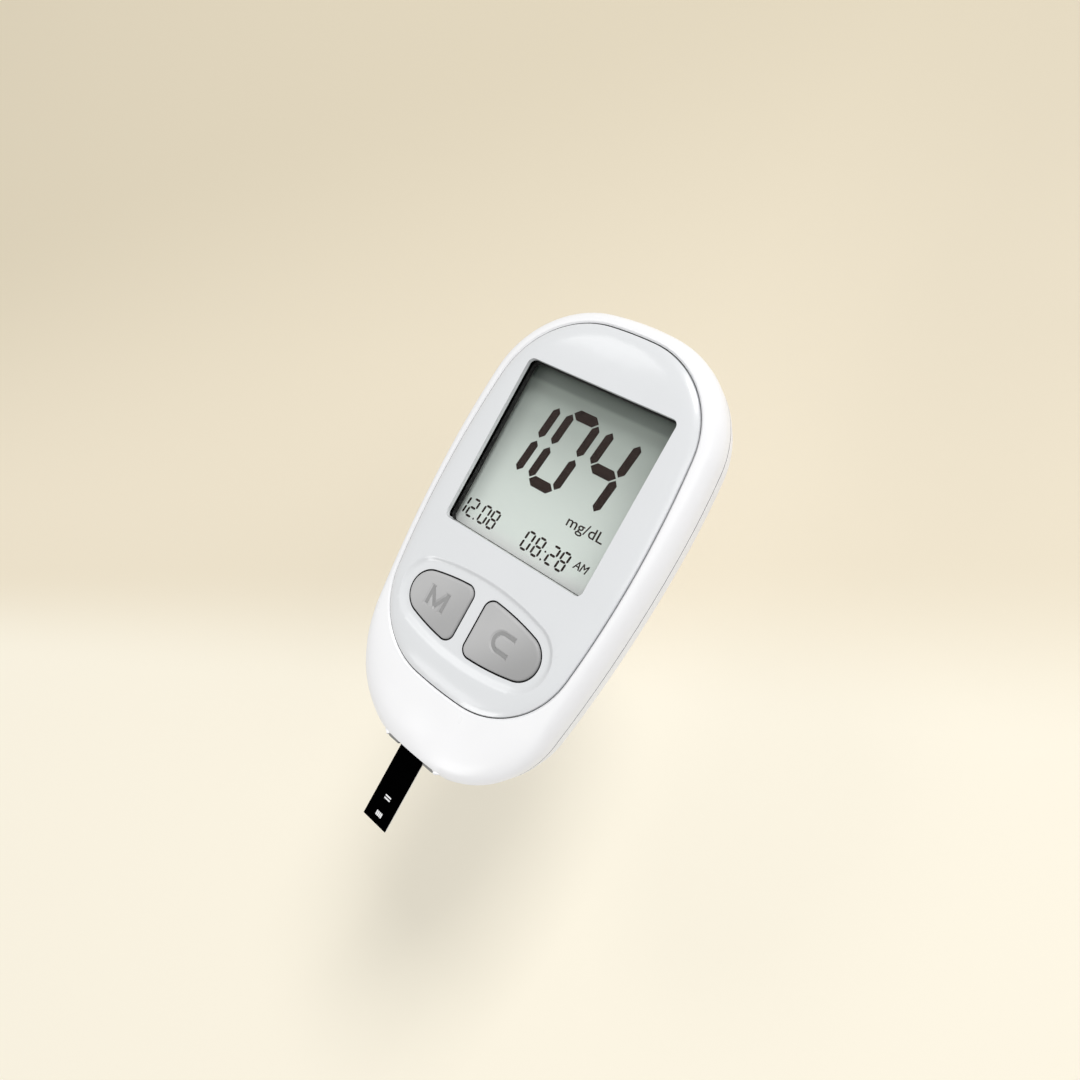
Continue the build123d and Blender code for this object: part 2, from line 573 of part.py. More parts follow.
# ---- Battery door -----------------------------------------------------------------------
def battery_door():
    """A flush door that hooks in at its lower end and snaps shut at its upper end."""
    panel = RectangleRounded(2 * DOOR_HALF_WIDTH, DOOR_LENGTH, DOOR_CORNER)
    door = slab(panel, 0, DOOR_MIDDLE_Y, 0, DOOR_THICKNESS)
    for side in (-1, 1):
        x_span = (side * HOOK_X - HOOK_WIDTH / 2, side * HOOK_X + HOOK_WIDTH / 2)
        door += block(x_span, (DOOR_END_Y, DOOR_END_Y + HOOK_NECK),
                      (DOOR_THICKNESS / 2, HOOK_TOP))
        door += block(x_span, (DOOR_END_Y - HOOK_REACH, DOOR_END_Y + HOOK_NECK),
                      (WALL + FIT, HOOK_TOP))
        x = side * LATCH_HALF_WIDTH
        door -= block((x - LATCH_SLOT / 2, x + LATCH_SLOT / 2),
                      (DOOR_TOP_Y - LATCH_LENGTH, DOOR_TOP_Y + 1), (-1, DOOR_THICKNESS + 1))
        door += saddle(side * CELL_X)
    for index in range(GRIP_RIBS):
        y = DOOR_TOP_Y - 4.0 - index * GRIP_PITCH
        door -= Pos(0, y, 0) * Rot(0, 90, 0) * Cylinder(GRIP_RADIUS, GRIP_WIDTH)
    return door


def saddle(x):
    """A cradle inside the door that keeps a cell from rattling."""
    half = SIDE_RIB_THICKNESS / 2
    rib = block((x - SADDLE_WIDTH / 2, x + SADDLE_WIDTH / 2),
                (BAY_MIDDLE_Y - half, BAY_MIDDLE_Y + half),
                (DOOR_THICKNESS / 2, DOOR_THICKNESS + SADDLE_HEIGHT))
    room = Pos(x, BAY_MIDDLE_Y, CELL_Z) * Rot(90, 0, 0) * Cylinder(CELL_RADIUS + FIT, 5)
    return rib - room


# ---- Cells and contacts -----------------------------------------------------------------
def cell(x, way):
    """A cylindrical cell along Y with its positive nub towards way."""
    nub_end = BAY_MIDDLE_Y + way * (BAY_HALF_LENGTH - POSITIVE_ROOM)
    can_end = nub_end - way * CELL_NUB_LENGTH
    lying = Rot(90, 0, 0)
    can = Pos(x, can_end - way * CELL_LENGTH / 2, CELL_Z) * lying * Cylinder(
        CELL_RADIUS, CELL_LENGTH)
    can = chamfer(can.edges().filter_by(GeomType.CIRCLE), 0.4)
    nub = Pos(x, can_end, CELL_Z) * lying * Cylinder(CELL_NUB_RADIUS, 2 * CELL_NUB_LENGTH)
    return can + nub


def sprung_plate(x, end, room):
    """A metal plate on a bay's end wall, bowed towards the cell to fill its room."""
    wall_y = BAY_MIDDLE_Y + end * (BAY_HALF_LENGTH - CONTACT_THICKNESS / 2 - FIT / 2)
    reach = room - CONTACT_THICKNESS - FIT / 2 - TOUCH
    half = CONTACT_WIDTH / 2
    path = [Line((wall_y, CELL_Z - half), (wall_y, CELL_Z - half + 0.8)),
            ThreePointArc((wall_y, CELL_Z - half + 0.8), (wall_y - end * reach, CELL_Z),
                          (wall_y, CELL_Z + half - 0.8)),
            Line((wall_y, CELL_Z + half - 0.8), (wall_y, CELL_Z + half))]
    return strip_of(trace(path, CONTACT_THICKNESS), x, CONTACT_WIDTH)


TAB_Z = CELL_Z + CONTACT_WIDTH / 2
TAB_WIDTH = 3.0
TAB_INNER_Y = BAY_TOP_Y - FIT / 2 - CONTACT_THICKNESS
TAB_OUTER_Y = BAY_TOP_Y + BAY_WALL + FIT + CONTACT_THICKNESS


def terminal_bend(x, grow=0.0):
    """The part of a terminal that goes through the bay's end wall."""
    return block((x - TAB_WIDTH / 2 - grow, x + TAB_WIDTH / 2 + grow),
                 (TAB_INNER_Y, TAB_OUTER_Y),
                 (TAB_Z - CONTACT_THICKNESS - grow, TAB_Z + grow))


def terminal(x, room):
    """A contact with the tab that leads up to the board behind the bay's end wall."""
    upright = block((x - TAB_WIDTH / 2, x + TAB_WIDTH / 2),
                    (TAB_OUTER_Y - CONTACT_THICKNESS, TAB_OUTER_Y),
                    (TAB_Z - CONTACT_THICKNESS, BOARD_UNDER))
    return sprung_plate(x, 1, room) + terminal_bend(x) + upright


def cell_link():
    """The bridge at the lower end, which joins both cells in series."""
    link = sprung_plate(-CELL_X, -1, POSITIVE_ROOM) + sprung_plate(CELL_X, -1, NEGATIVE_ROOM)
    back = BAY_END_Y + FIT / 2
    low = CELL_Z - CONTACT_WIDTH / 2
    return link + block((-CELL_X, CELL_X), (back, back + CONTACT_THICKNESS), (low, low + 0.8))


# ---- Circuit board and its parts --------------------------------------------------------
def main_board():
    board = egg_prism(inset(OUTLINE, BOARD_INSET), BOARD_UNDER, BOARD_TOP)
    board &= block((-WIDTH, WIDTH), (BOARD_END_Y, BOARD_TOP_Y), (0, FACE_Z))
    for x, y in CASE_SCREWS:
        board -= rod(x, y, POST_RADIUS + SLIDE_FIT, 0, FACE_Z)
    for x, y in BOARD_SCREWS:
        board -= rod(x, y, BOARD_SCREW_RADIUS + SLIDE_FIT, 0, FACE_Z)
    return board


def flat_chip(x, y, width, height, legs, pitch):
    """A packaged chip under the board with a row of legs on its two long sides."""
    under = BOARD_UNDER - FIT
    chip = block((x - width / 2, x + width / 2), (y - height / 2, y + height / 2),
                 (under - CHIP_THICKNESS, under))
    for index in range(legs):
        leg_y = y + (index - (legs - 1) / 2) * pitch
        chip += block((x - width / 2 - 0.6, x + width / 2 + 0.6),
                      (leg_y - pitch / 5, leg_y + pitch / 5),
                      (BOARD_UNDER - 0.25, BOARD_UNDER))
    return chip


def small_parts(length, width, height, rows):
    """Small board parts of one kind, as separate blocks in rows under the board."""
    parts = []
    for side, y, count, pitch in rows:
        for index in range(count):
            x = side * PART_X + (index - (count - 1) / 2) * pitch
            parts.append(block((x - width / 2, x + width / 2), (y - length / 2, y + length / 2),
                               (BOARD_UNDER - height, BOARD_UNDER)))
    return Compound(parts)


def crystal():
    return Pos(-PART_X, 3.0, BOARD_UNDER - 1.0) * Rot(90, 0, 0) * Cylinder(1.0, 6.0)


def buzzer():
    """A round sounder under the board with its sound hole facing the back."""
    can = rod(0, BUZZER_Y, BUZZER_RADIUS, BOARD_UNDER - BUZZER_HEIGHT, BOARD_UNDER)
    return can - rod(0, BUZZER_Y, 1.0, 0, BOARD_UNDER - 1.0)


# ---- Display stack ----------------------------------------------------------------------
def pane(width, height, corner, low, high):
    """A sheet with rounded corners centred on the display."""
    return slab(RectangleRounded(width, height, corner), 0, DISPLAY_Y, low, high)


def glass(width, height, low, high):
    """A sheet with square corners centred on the display."""
    return slab(Rectangle(width, height), 0, DISPLAY_Y, low, high)


def display_gasket():
    """The black light seal between the window and the lens."""
    low = LENS_TOP + GASKET_GAP / 2
    high = PLATE_UNDER - GASKET_GAP / 2
    outer_width = WINDOW_WIDTH + 2 * GASKET_WALL
    outer_height = WINDOW_HEIGHT + 2 * GASKET_WALL
    ring = pane(outer_width, outer_height, WINDOW_CORNER + GASKET_WALL, low, high)
    return ring - pane(WINDOW_WIDTH, WINDOW_HEIGHT, WINDOW_CORNER, low - 1, high + 1)


def display_holder():
    """The frame that carries the display glass over the board and aims the zebra strips."""
    tray = pane(HOLDER_WIDTH, HOLDER_HEIGHT, HOLDER_CORNER, BOARD_TOP, GLASS_TOP)
    tray -= glass(GLASS_WIDTH + SLIDE_FIT, GLASS_HEIGHT + SLIDE_FIT,
                  REFLECTOR_UNDER, GLASS_TOP + 1)
    tray -= pane(GLASS_WIDTH - 6, REAR_GLASS_HEIGHT - 8, 1.0, BOARD_TOP - 1, GLASS_TOP)
    for side in (-1, 1):
        tray -= zebra_strip(side, FIT, 1)
    return tray


def zebra_strip(side, grow=0.0, deeper=0.0):
    """The striped rubber bar that connects the front glass to the board."""
    y = DISPLAY_Y + side * ZEBRA_Y
    half = GLASS_WIDTH / 2 - ZEBRA_END_GAP + grow
    return block((-half, half), (y - ZEBRA_WIDTH / 2 - grow, y + ZEBRA_WIDTH / 2 + grow),
                 (BOARD_TOP - deeper, REAR_GLASS_TOP + deeper))


# ---- Strip port -------------------------------------------------------------------------
def strip_guide():
    """The dark insert in the port, open on top in front of the casing's lip."""
    half = PORT_HALF_WIDTH - FIT
    guide = block((-half, half), (GUIDE_FRONT_Y, GUIDE_BACK_Y), (PORT_FLOOR + FIT, PORT_ROOF - FIT))
    guide = fillet(guide.edges().filter_by(Axis.Z).group_by(Axis.Y)[0], PORT_CORNER - FIT)
    slot = (-STRIP_WIDTH / 2 - SLOT_SIDE, STRIP_WIDTH / 2 + SLOT_SIDE)
    under = STRIP_UNDER - FIT / 2
    guide -= block(slot, (GUIDE_FRONT_Y - 1, GUIDE_BACK_Y + 1), (under, STRIP_TOP + SLOT_ABOVE))
    guide -= block(slot, (GUIDE_FRONT_Y - 1, PORT_LIP_Y), (under, FACE_Z))
    return guide


def spring_xs():
    return [(index - (SPRING_COUNT - 1) / 2) * SPRING_PITCH for index in range(SPRING_COUNT)]


def strip_connector():
    """The socket on the board, with a slot for the strip and a comb for its springs."""
    half = CONNECTOR_HALF_WIDTH
    body = block((-half, half), (CONNECTOR_FRONT_Y, CONNECTOR_BACK_Y), (BOARD_TOP, CONNECTOR_TOP))
    slot = (-STRIP_WIDTH / 2 - SLOT_SIDE, STRIP_WIDTH / 2 + SLOT_SIDE)
    body -= block(slot, (CONNECTOR_FRONT_Y - 1, STRIP_END_Y + SLIDE_FIT),
                  (STRIP_UNDER - FIT / 2, STRIP_TOP + SLOT_ABOVE))
    for x in spring_xs():
        groove = SPRING_WIDTH / 2 + FIT
        body -= block((x - groove, x + groove), (STRIP_END_Y - SPRING_REACH - 2.4,
                                                 CONNECTOR_BACK_Y + 1),
                      (STRIP_UNDER, CONNECTOR_TOP + 1))
    return body


def strip_springs():
    """Five gold leaf springs that press on the strip's contacts."""
    foot = BOARD_TOP + SPRING_THICKNESS / 2
    top = CONNECTOR_TOP - 0.3
    touch_y = STRIP_END_Y - SPRING_REACH
    touch = STRIP_UNDER + STRIP_BASE + SPRING_THICKNESS + TOUCH
    path = Polyline((CONNECTOR_BACK_Y + 1.3, foot), (CONNECTOR_BACK_Y + 0.4, foot),
                    (CONNECTOR_BACK_Y + 0.2, top), (CONNECTOR_BACK_Y - 1.4, top),
                    (touch_y, touch), (touch_y - 1.6, touch + 0.7))
    profile = trace(path, SPRING_THICKNESS)
    return Compound([strip_of(profile, x, SPRING_WIDTH) for x in spring_xs()])


def film(inner_end, low, high):
    """A strip layer from its tip to an inner end."""
    half = STRIP_WIDTH / 2
    return block((-half, half), (STRIP_TIP_Y, inner_end), (low, high))


def strip_base():
    """The strip's carrier film."""
    return film(STRIP_END_Y, STRIP_UNDER, STRIP_UNDER + STRIP_BASE)


def strip_cover():
    """The black cover film, which leaves the contacts bare."""
    return film(STRIP_END_Y - STRIP_BARE, STRIP_UNDER + STRIP_BASE, STRIP_TOP)


# ---- Screws -----------------------------------------------------------------------------
def screw(x, y, radius, head_radius, head_height, seat, reach):
    """A screw driven upwards from behind, with a flat round head."""
    return rod(x, y, head_radius, seat - head_height, seat) + rod(x, y, radius, seat, reach)


def case_screws():
    reach = POST_JOINT_Z + SCREW_BITE
    return Compound([screw(x, y, SCREW_RADIUS, SCREW_HEAD_RADIUS, SCREW_HEAD_HEIGHT,
                           SCREW_SEAT_Z, reach) for x, y in CASE_SCREWS])


def board_screws():
    reach = BOARD_TOP + BOARD_SCREW_BITE
    return Compound([screw(x, y, BOARD_SCREW_RADIUS, BOARD_SCREW_HEAD_RADIUS,
                           BOARD_SCREW_HEAD_HEIGHT, BOARD_UNDER, reach)
                     for x, y in BOARD_SCREWS])


NODES = {
    "front_case": front_case(),
    "rear_cover": rear_cover(),
    "face_plate": face_plate(),
    "battery_door": battery_door(),
    "m_button": button(-1),
    "c_button": button(1),
    "m_key_dome": key_dome(-1),
    "c_key_dome": key_dome(1),
    "keypad_mat": keypad_mat(),
    "display_lens": glass(GLASS_WIDTH, GLASS_HEIGHT, GLASS_TOP, LENS_TOP),
    "display_gasket": display_gasket(),
    "display_holder": display_holder(),
    "display_front_glass": glass(GLASS_WIDTH, GLASS_HEIGHT, REAR_GLASS_TOP, GLASS_TOP),
    "display_rear_glass": glass(GLASS_WIDTH, REAR_GLASS_HEIGHT, REFLECTOR_TOP, REAR_GLASS_TOP),
    "display_reflector": glass(GLASS_WIDTH - 1, REAR_GLASS_HEIGHT - 1, REFLECTOR_UNDER,
                               REFLECTOR_TOP),
    "upper_zebra_strip": zebra_strip(1),
    "lower_zebra_strip": zebra_strip(-1),
    "main_board": main_board(),
    "microcontroller": flat_chip(PART_X, 10.0, 6.0, 7.0, 10, 0.6),
    "amplifier_chip": flat_chip(-PART_X, 12.0, 4.0, 5.0, 4, 1.2),
    "memory_chip": flat_chip(PART_X, -1.0, 4.0, 5.0, 4, 1.2),
    "crystal": crystal(),
    "chip_capacitors": small_parts(1.6, 0.9, 0.7, [(1, 16.5, 3, 2.2), (1, 4.2, 3, 2.2),
                                                   (-1, 17.0, 3, 2.2)]),
    "chip_resistors": small_parts(1.4, 0.8, 0.4, [(1, 20.0, 4, 1.7), (-1, 20.5, 4, 1.7)]),
    "buzzer": buzzer(),
    "left_cell": cell(-CELL_X, -1),
    "right_cell": cell(CELL_X, 1),
    "negative_terminal": terminal(-CELL_X, NEGATIVE_ROOM),
    "positive_terminal": terminal(CELL_X, POSITIVE_ROOM),
    "cell_link": cell_link(),
    "strip_guide": strip_guide(),
    "strip_connector": strip_connector(),
    "strip_springs": strip_springs(),
    "strip_base": strip_base(),
    "strip_cover": strip_cover(),
    "case_screws": case_screws(),
    "board_screws": board_screws(),
}

os.makedirs("parts", exist_ok=True)
for name, shape in NODES.items():
    export_step(shape, f"parts/{name}.step")
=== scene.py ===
# %% [markdown]
# # A blood glucose meter
# A meter like this is a sandwich. Two white moulded shells hold a circuit board and two cells,
# a painted cover plate is set into the front shell, and below its window lie the display's
# lens and glass. The engineering model gives every one of these parts its size and place.
# This script loads it as a fixed frame and then gives it surfaces, lettering and light.

# %% Load the engineering model
import math

import bmesh
import bpy
from mathutils import Matrix, Vector


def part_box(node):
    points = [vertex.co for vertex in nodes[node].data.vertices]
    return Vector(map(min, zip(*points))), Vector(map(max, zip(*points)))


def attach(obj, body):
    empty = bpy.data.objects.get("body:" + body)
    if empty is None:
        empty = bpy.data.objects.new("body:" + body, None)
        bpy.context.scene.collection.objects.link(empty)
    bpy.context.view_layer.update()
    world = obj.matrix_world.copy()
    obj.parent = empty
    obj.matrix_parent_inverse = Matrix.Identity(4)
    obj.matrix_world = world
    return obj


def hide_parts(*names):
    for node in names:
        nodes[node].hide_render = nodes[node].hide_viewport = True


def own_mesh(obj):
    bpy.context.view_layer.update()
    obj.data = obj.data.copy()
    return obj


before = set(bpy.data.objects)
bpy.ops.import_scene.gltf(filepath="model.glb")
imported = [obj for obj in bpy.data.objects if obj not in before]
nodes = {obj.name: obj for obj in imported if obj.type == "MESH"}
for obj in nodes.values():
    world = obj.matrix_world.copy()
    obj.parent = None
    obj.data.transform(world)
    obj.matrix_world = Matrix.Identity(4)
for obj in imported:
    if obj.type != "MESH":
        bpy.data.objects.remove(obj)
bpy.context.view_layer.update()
MM = 0.001
print("parts loaded:", len(nodes))

# %% [markdown]
# ## The camera
# The meter is seen from above its right side, close by and through a wide lens, which is why
# the near lower edge looks larger than the far one. A camera looks along its own -Z, so three
# turns about X, Y and Z aim it. Depth of field stays off, so all of the meter is sharp.

# %% Camera
CAMERA_PLACE_MM = (65.15, 9.61, 133.4)
CAMERA_TURN_DEG = (12.063, 26.094, 32.632)
CAMERA_LENS_MM = 24.0
NEAREST_SEEN_MM = 5.0
camera = bpy.data.objects.new("camera", bpy.data.cameras.new("camera"))
camera.data.lens = CAMERA_LENS_MM
camera.data.clip_start = NEAREST_SEEN_MM * MM
camera.location = Vector(CAMERA_PLACE_MM) * MM
camera.rotation_euler = [math.radians(turn) for turn in CAMERA_TURN_DEG]
bpy.context.scene.collection.objects.link(camera)
bpy.context.scene.camera = camera
bpy.context.scene.view_settings.view_transform = "Standard"
print("camera is", round(camera.location.length / MM), "mm from the meter's back")

# %% [markdown]
# ## Colours and nodes
# Colours are written as the eye names them, in sRGB hex, while shaders calculate with linear
# light. One function turns the first into the second. A second function adds any node, with
# its settings and what feeds it, so that each finish below can be read from top to bottom.

# %% Helpers for finishes
def colour(text):
    """An sRGB hex value as the linear colour that shaders use."""
    parts = [int(text[start:start + 2], 16) / 255 for start in (1, 3, 5)]
    return [part / 12.92 if part <= 0.04045 else ((part + 0.055) / 1.055) ** 2.4
            for part in parts] + [1.0]


def add(tree, kind, inputs, **settings):
    """Adds a node. inputs has a value, or the output that feeds it, for each input."""
    node = tree.nodes.new(kind)
    for name, value in settings.items():
        setattr(node, name, value)
    for name, value in inputs.items():
        if isinstance(value, bpy.types.NodeSocket):
            tree.links.new(value, node.inputs[name])
        else:
            node.inputs[name].default_value = value
    return node


def material(name, build):
    """A material whose surface is what build makes from the Object coordinates."""
    made = bpy.data.materials.new(name)
    made.use_nodes = True
    tree = made.node_tree
    tree.nodes.clear()
    place = add(tree, "ShaderNodeTexCoord", {}).outputs["Object"]
    add(tree, "ShaderNodeOutputMaterial", {"Surface": build(tree, place)})
    return made


print("#808080 in linear light is", round(colour("#808080")[0], 3))

# %% [markdown]
# ## The stage
# The meter hovers over a plain cream floor, so its shadow lies apart from it and its back
# stays in view from below. The floor has three soft tones, darker far away. The light that it
# throws back at the meter is a neutral white, because a cream one would tint the white shells.
# It is see-through from behind, so that a camera under the floor still finds the meter.

# %% Floor
FLOOR_DEPTH_MM = 70.0
FLOOR_SIZE_M = 6.0
FAR_WAY = (-0.480, 0.877, 0.0)    # the way in which the floor darkens
NEAR_BLEND_MM = (-34.0, 12.0)     # where the near tone turns into the middle one
FAR_BLEND_MM = (30.0, 220.0)      # where the middle tone turns into the far one


def seen_share(tree):
    """1 for a ray that looks, mirrors or passes glass, and 0 for one that carries light."""
    ray = add(tree, "ShaderNodeLightPath", {}).outputs
    looked_at = add(tree, "ShaderNodeMath", {0: ray["Is Camera Ray"], 1: ray["Is Glossy Ray"]},
                    operation="ADD").outputs[0]
    return add(tree, "ShaderNodeMath", {0: looked_at, 1: ray["Is Transmission Ray"]},
               operation="ADD", use_clamp=True).outputs[0]


def cream_floor(tree, place):
    across = add(tree, "ShaderNodeVectorMath", {0: place, 1: FAR_WAY},
                 operation="DOT_PRODUCT").outputs["Value"]
    far = add(tree, "ShaderNodeMapRange", {"Value": across, "From Min": FAR_BLEND_MM[0] * MM,
                                           "From Max": FAR_BLEND_MM[1] * MM},
              interpolation_type="SMOOTHSTEP").outputs["Result"]
    upper = add(tree, "ShaderNodeMix", {0: far, 6: colour("#EEE3CC"), 7: colour("#DFD4BC")},
                data_type="RGBA").outputs[2]
    share = add(tree, "ShaderNodeMapRange", {"Value": across,
                                             "From Min": NEAR_BLEND_MM[0] * MM,
                                             "From Max": NEAR_BLEND_MM[1] * MM},
                interpolation_type="SMOOTHSTEP").outputs["Result"]
    tone = add(tree, "ShaderNodeMix", {0: share, 6: colour("#FBF4E2"), 7: upper},
               data_type="RGBA").outputs[2]
    tone = add(tree, "ShaderNodeMix", {0: seen_share(tree), 6: colour("#E4E4E7"), 7: tone},
               data_type="RGBA").outputs[2]
    paper = add(tree, "ShaderNodeBsdfDiffuse", {"Color": tone}).outputs[0]
    clear = add(tree, "ShaderNodeBsdfTransparent", {}).outputs[0]
    behind = add(tree, "ShaderNodeNewGeometry", {}).outputs["Backfacing"]
    return add(tree, "ShaderNodeMixShader", {0: behind, 1: paper, 2: clear}).outputs[0]


bpy.ops.mesh.primitive_plane_add(size=FLOOR_SIZE_M, location=(0, 0, -FLOOR_DEPTH_MM * MM))
floor = bpy.context.active_object
floor.name = "floor"
floor.data.materials.append(material("cream_paper_floor", cream_floor))
print("floor lies", FLOOR_DEPTH_MM, "mm below the meter's back")

# %% [markdown]
# ## Light
# An even white sky lights every side, and looks cream where it is seen or mirrored. A soft
# lamp beyond the meter's top throws the shadow, two beyond its lower end lift the chin, and
# two at its right lift the tall side. A small lamp overhead draws the bright band in the dish
# round the keys. Together they light a white sheet on the floor to about white, so a colour
# renders about as it is written.

# %% Lamps
SKY_STRENGTH = 0.47
LAMP_DISTANCE_M = 2.5
LAMPS = (("key_lamp", (0.16, 0.76, 0.63), 0.7, 28.0),
         ("chin_lamp", (-0.45, -0.63, 0.63), 0.8, 4.0),
         ("front_lamp", (-0.20, -0.88, 0.43), 1.0, 12.5),
         ("top_lamp", (-0.50, 0.38, 0.78), 0.65, 3.2),
         ("side_lamp", (0.80, 0.36, 0.48), 1.2, 9.0),
         ("right_lamp", (0.62, 0.10, 0.78), 1.0, 4.0))
world = bpy.data.worlds.new("sky")
world.use_nodes = True
sky = world.node_tree
light = add(sky, "ShaderNodeBackground", {"Color": colour("#FFFFFF"),
                                          "Strength": SKY_STRENGTH}).outputs[0]
backdrop = add(sky, "ShaderNodeBackground", {"Color": colour("#F1EEE7")}).outputs[0]
mixed = add(sky, "ShaderNodeMixShader", {0: seen_share(sky), 1: light,
                                         2: backdrop}).outputs[0]
sky.links.new(mixed, sky.nodes["World Output"].inputs["Surface"])
bpy.context.scene.world = world


def softbox(name, direction, size, power):
    """A square lamp, size metres wide, that faces the meter from a direction, in watts."""
    lamp = bpy.data.objects.new(name, bpy.data.lights.new(name, "AREA"))
    lamp.data.size = size
    lamp.data.energy = power
    towards = Vector(direction).normalized()
    lamp.location = towards * LAMP_DISTANCE_M
    lamp.rotation_euler = towards.to_track_quat("Z", "Y").to_euler()
    lamp.visible_camera = False
    bpy.context.scene.collection.objects.link(lamp)


for lamp_row in LAMPS:
    softbox(*lamp_row)
print("lamps:", len(LAMPS), "with", sum(row[3] for row in LAMPS), "watts in all")

# %% [markdown]
# ## Plastics
# Moulded plastic has one colour all through. What the eye reads as plastic is the way its
# gloss breaks up: a faint unevenness a few millimetres across and, on matt parts, the fine
# grain that the mould was etched with. Real etching is about 0.05 mm, too fine to show from
# here, so it is drawn a few times as coarse. The keys get a painted shade that darkens them
# towards their lower right, and what lies deep in a gap gets no light and is painted black.

# %% A plastic builder
NOISE_LOW, NOISE_HIGH = 0.2, 0.8          # nearly all values of a noise lie between these
SHADE_WAY = (0.75, -0.66, 0)               # the painted shade darkens a key towards its lower right
SHADE_SPAN_MM = (-4.5, 6.5)                # where the painted shade starts and where it is full


def plastic(tone, deep_tone, roughness, patch_mm=6.0, grain_mm=0.35, relief_mm=0.002,
            shine=0.5, shade_mm=None, lower_right_shade=None):
    """Builds a plastic with a patchy tone and gloss and a fine grain.

    shade_mm is the two heights between which it lies in a gap and is painted black as shade.
    lower_right_shade is the place of its middle and the tone of the painted shade at its lower
    right."""
    def build(tree, place):
        patch = add(tree, "ShaderNodeTexNoise", {"Vector": place, "Scale": 1 / (patch_mm * MM),
                                                 "Detail": 1.0}).outputs["Fac"]
        grain = add(tree, "ShaderNodeTexNoise", {"Vector": place, "Scale": 1 / (grain_mm * MM),
                                                 "Detail": 2.0}).outputs["Fac"]
        tint = add(tree, "ShaderNodeMapRange", {"Value": patch, "From Min": NOISE_LOW,
                                                "From Max": NOISE_HIGH}).outputs["Result"]
        base = add(tree, "ShaderNodeMix", {0: tint, 6: colour(tone), 7: colour(deep_tone)},
                   data_type="RGBA").outputs[2]
        # painted shade: the lower right of a key is darkened towards a darker tone
        if lower_right_shade:
            x, y, dark_tone = lower_right_shade
            from_middle = add(tree, "ShaderNodeVectorMath", {0: place, 1: (x * MM, y * MM, 0)},
                              operation="SUBTRACT").outputs["Vector"]
            along = add(tree, "ShaderNodeVectorMath", {0: from_middle, 1: SHADE_WAY},
                        operation="DOT_PRODUCT").outputs["Value"]
            shade_share = add(tree, "ShaderNodeMapRange", {"Value": along,
                                                    "From Min": SHADE_SPAN_MM[0] * MM,
                                                    "From Max": SHADE_SPAN_MM[1] * MM},
                       interpolation_type="SMOOTHSTEP").outputs["Result"]
            base = add(tree, "ShaderNodeMix", {0: shade_share, 6: base, 7: colour(dark_tone)},
                       data_type="RGBA").outputs[2]
        # painted shade: black where the surface lies deep in a gap
        if shade_mm:
            middle, half = sum(shade_mm) / 2 * MM, (shade_mm[1] - shade_mm[0]) / 2 * MM
            height = add(tree, "ShaderNodeSeparateXYZ", {"Vector": place}).outputs["Z"]
            in_gap = add(tree, "ShaderNodeMath", {0: height, 1: middle, 2: half},
                         operation="COMPARE").outputs[0]
            base = add(tree, "ShaderNodeMix", {0: in_gap, 6: base, 7: colour("#0A0A0B")},
                       data_type="RGBA").outputs[2]
        gloss = add(tree, "ShaderNodeMapRange", {"Value": patch, "From Min": NOISE_LOW,
                                                 "From Max": NOISE_HIGH,
                                                 "To Min": roughness * 0.9,
                                                 "To Max": roughness * 1.1}).outputs["Result"]
        relief = add(tree, "ShaderNodeBump", {"Height": grain, "Strength": 1.0,
                                              "Distance": relief_mm * MM}).outputs["Normal"]
        return add(tree, "ShaderNodeBsdfPrincipled", {
            "Base Color": base, "Roughness": gloss, "Normal": relief, "IOR": 1.5,
            "Specular IOR Level": shine}).outputs[0]
    return build


# %% Plastics of the outside
# Between each pair of heights the plastic is painted black, as painted shade in a gap.
PARTING_LINE_MM = (11.99, 12.26)          # the heights of the gap between the shells
KEY_SIDES_MM = (17.0, 20.1)               # the heights at which a key stands in its hole
KEY_MIDDLE_Y_MM = -17.1


def key_plastic(middle_x_mm, shade_tone):
    """Builds a key's plastic: matt, painted black as shade down its hole and with a painted
    shade at its lower right.
    """
    return plastic("#BCBCBC", "#B8B8B8", 0.5, 5.0, 0.22, 0.006, shade_mm=KEY_SIDES_MM,
                   lower_right_shade=(middle_x_mm, KEY_MIDDLE_Y_MM, shade_tone))


white_abs = material("white_abs_moulded_satin", plastic("#F7F7F8", "#F5F5F6", 0.30,
                                                        shade_mm=PARTING_LINE_MM))
# The second tone of each key is the painted shade at its lower right.
m_key_grey = material("grey_abs_moulded_matt_m", key_plastic(-9.1, "#A7A7A7"))
c_key_grey = material("grey_abs_moulded_matt_c", key_plastic(8.3, "#9C9C9C"))
port_plastic = material("grey_abs_moulded_port", plastic("#8E8D8A", "#807F7C", 0.45))
holder_plastic = material("white_acetal_moulded", plastic("#ECEAE3", "#E2E0D8", 0.4))
black_foam = material("black_foam_die_cut", plastic("#0B0C0C", "#050505", 0.85, 1.0, 0.25,
                                                    0.02))
silicone = material("grey_silicone_moulded", plastic("#B9BCBB", "#A9ACAB", 0.6, 3.0, 0.3))
black_resin = material("black_epoxy_moulded", plastic("#1B1C1E", "#131416", 0.55, 1.0, 0.15,
                                                      0.006))
black_socket = material("black_polymer_moulded", plastic("#18191A", "#101112", 0.4))
# The floors of the sunk letters are painted darker, as painted shade in the groove.
letter_floor_shade = material("grey_abs_letter_floor_painted_shade", plastic("#989898", "#929292", 0.6, 1.2, 0.28,
                                                       0.004))
ceramic = material("tan_ceramic_fired", plastic("#B99A72", "#9C7C56", 0.5, 0.6, 0.2, 0.004))
print("plastics made, and materials so far:", len(bpy.data.materials))
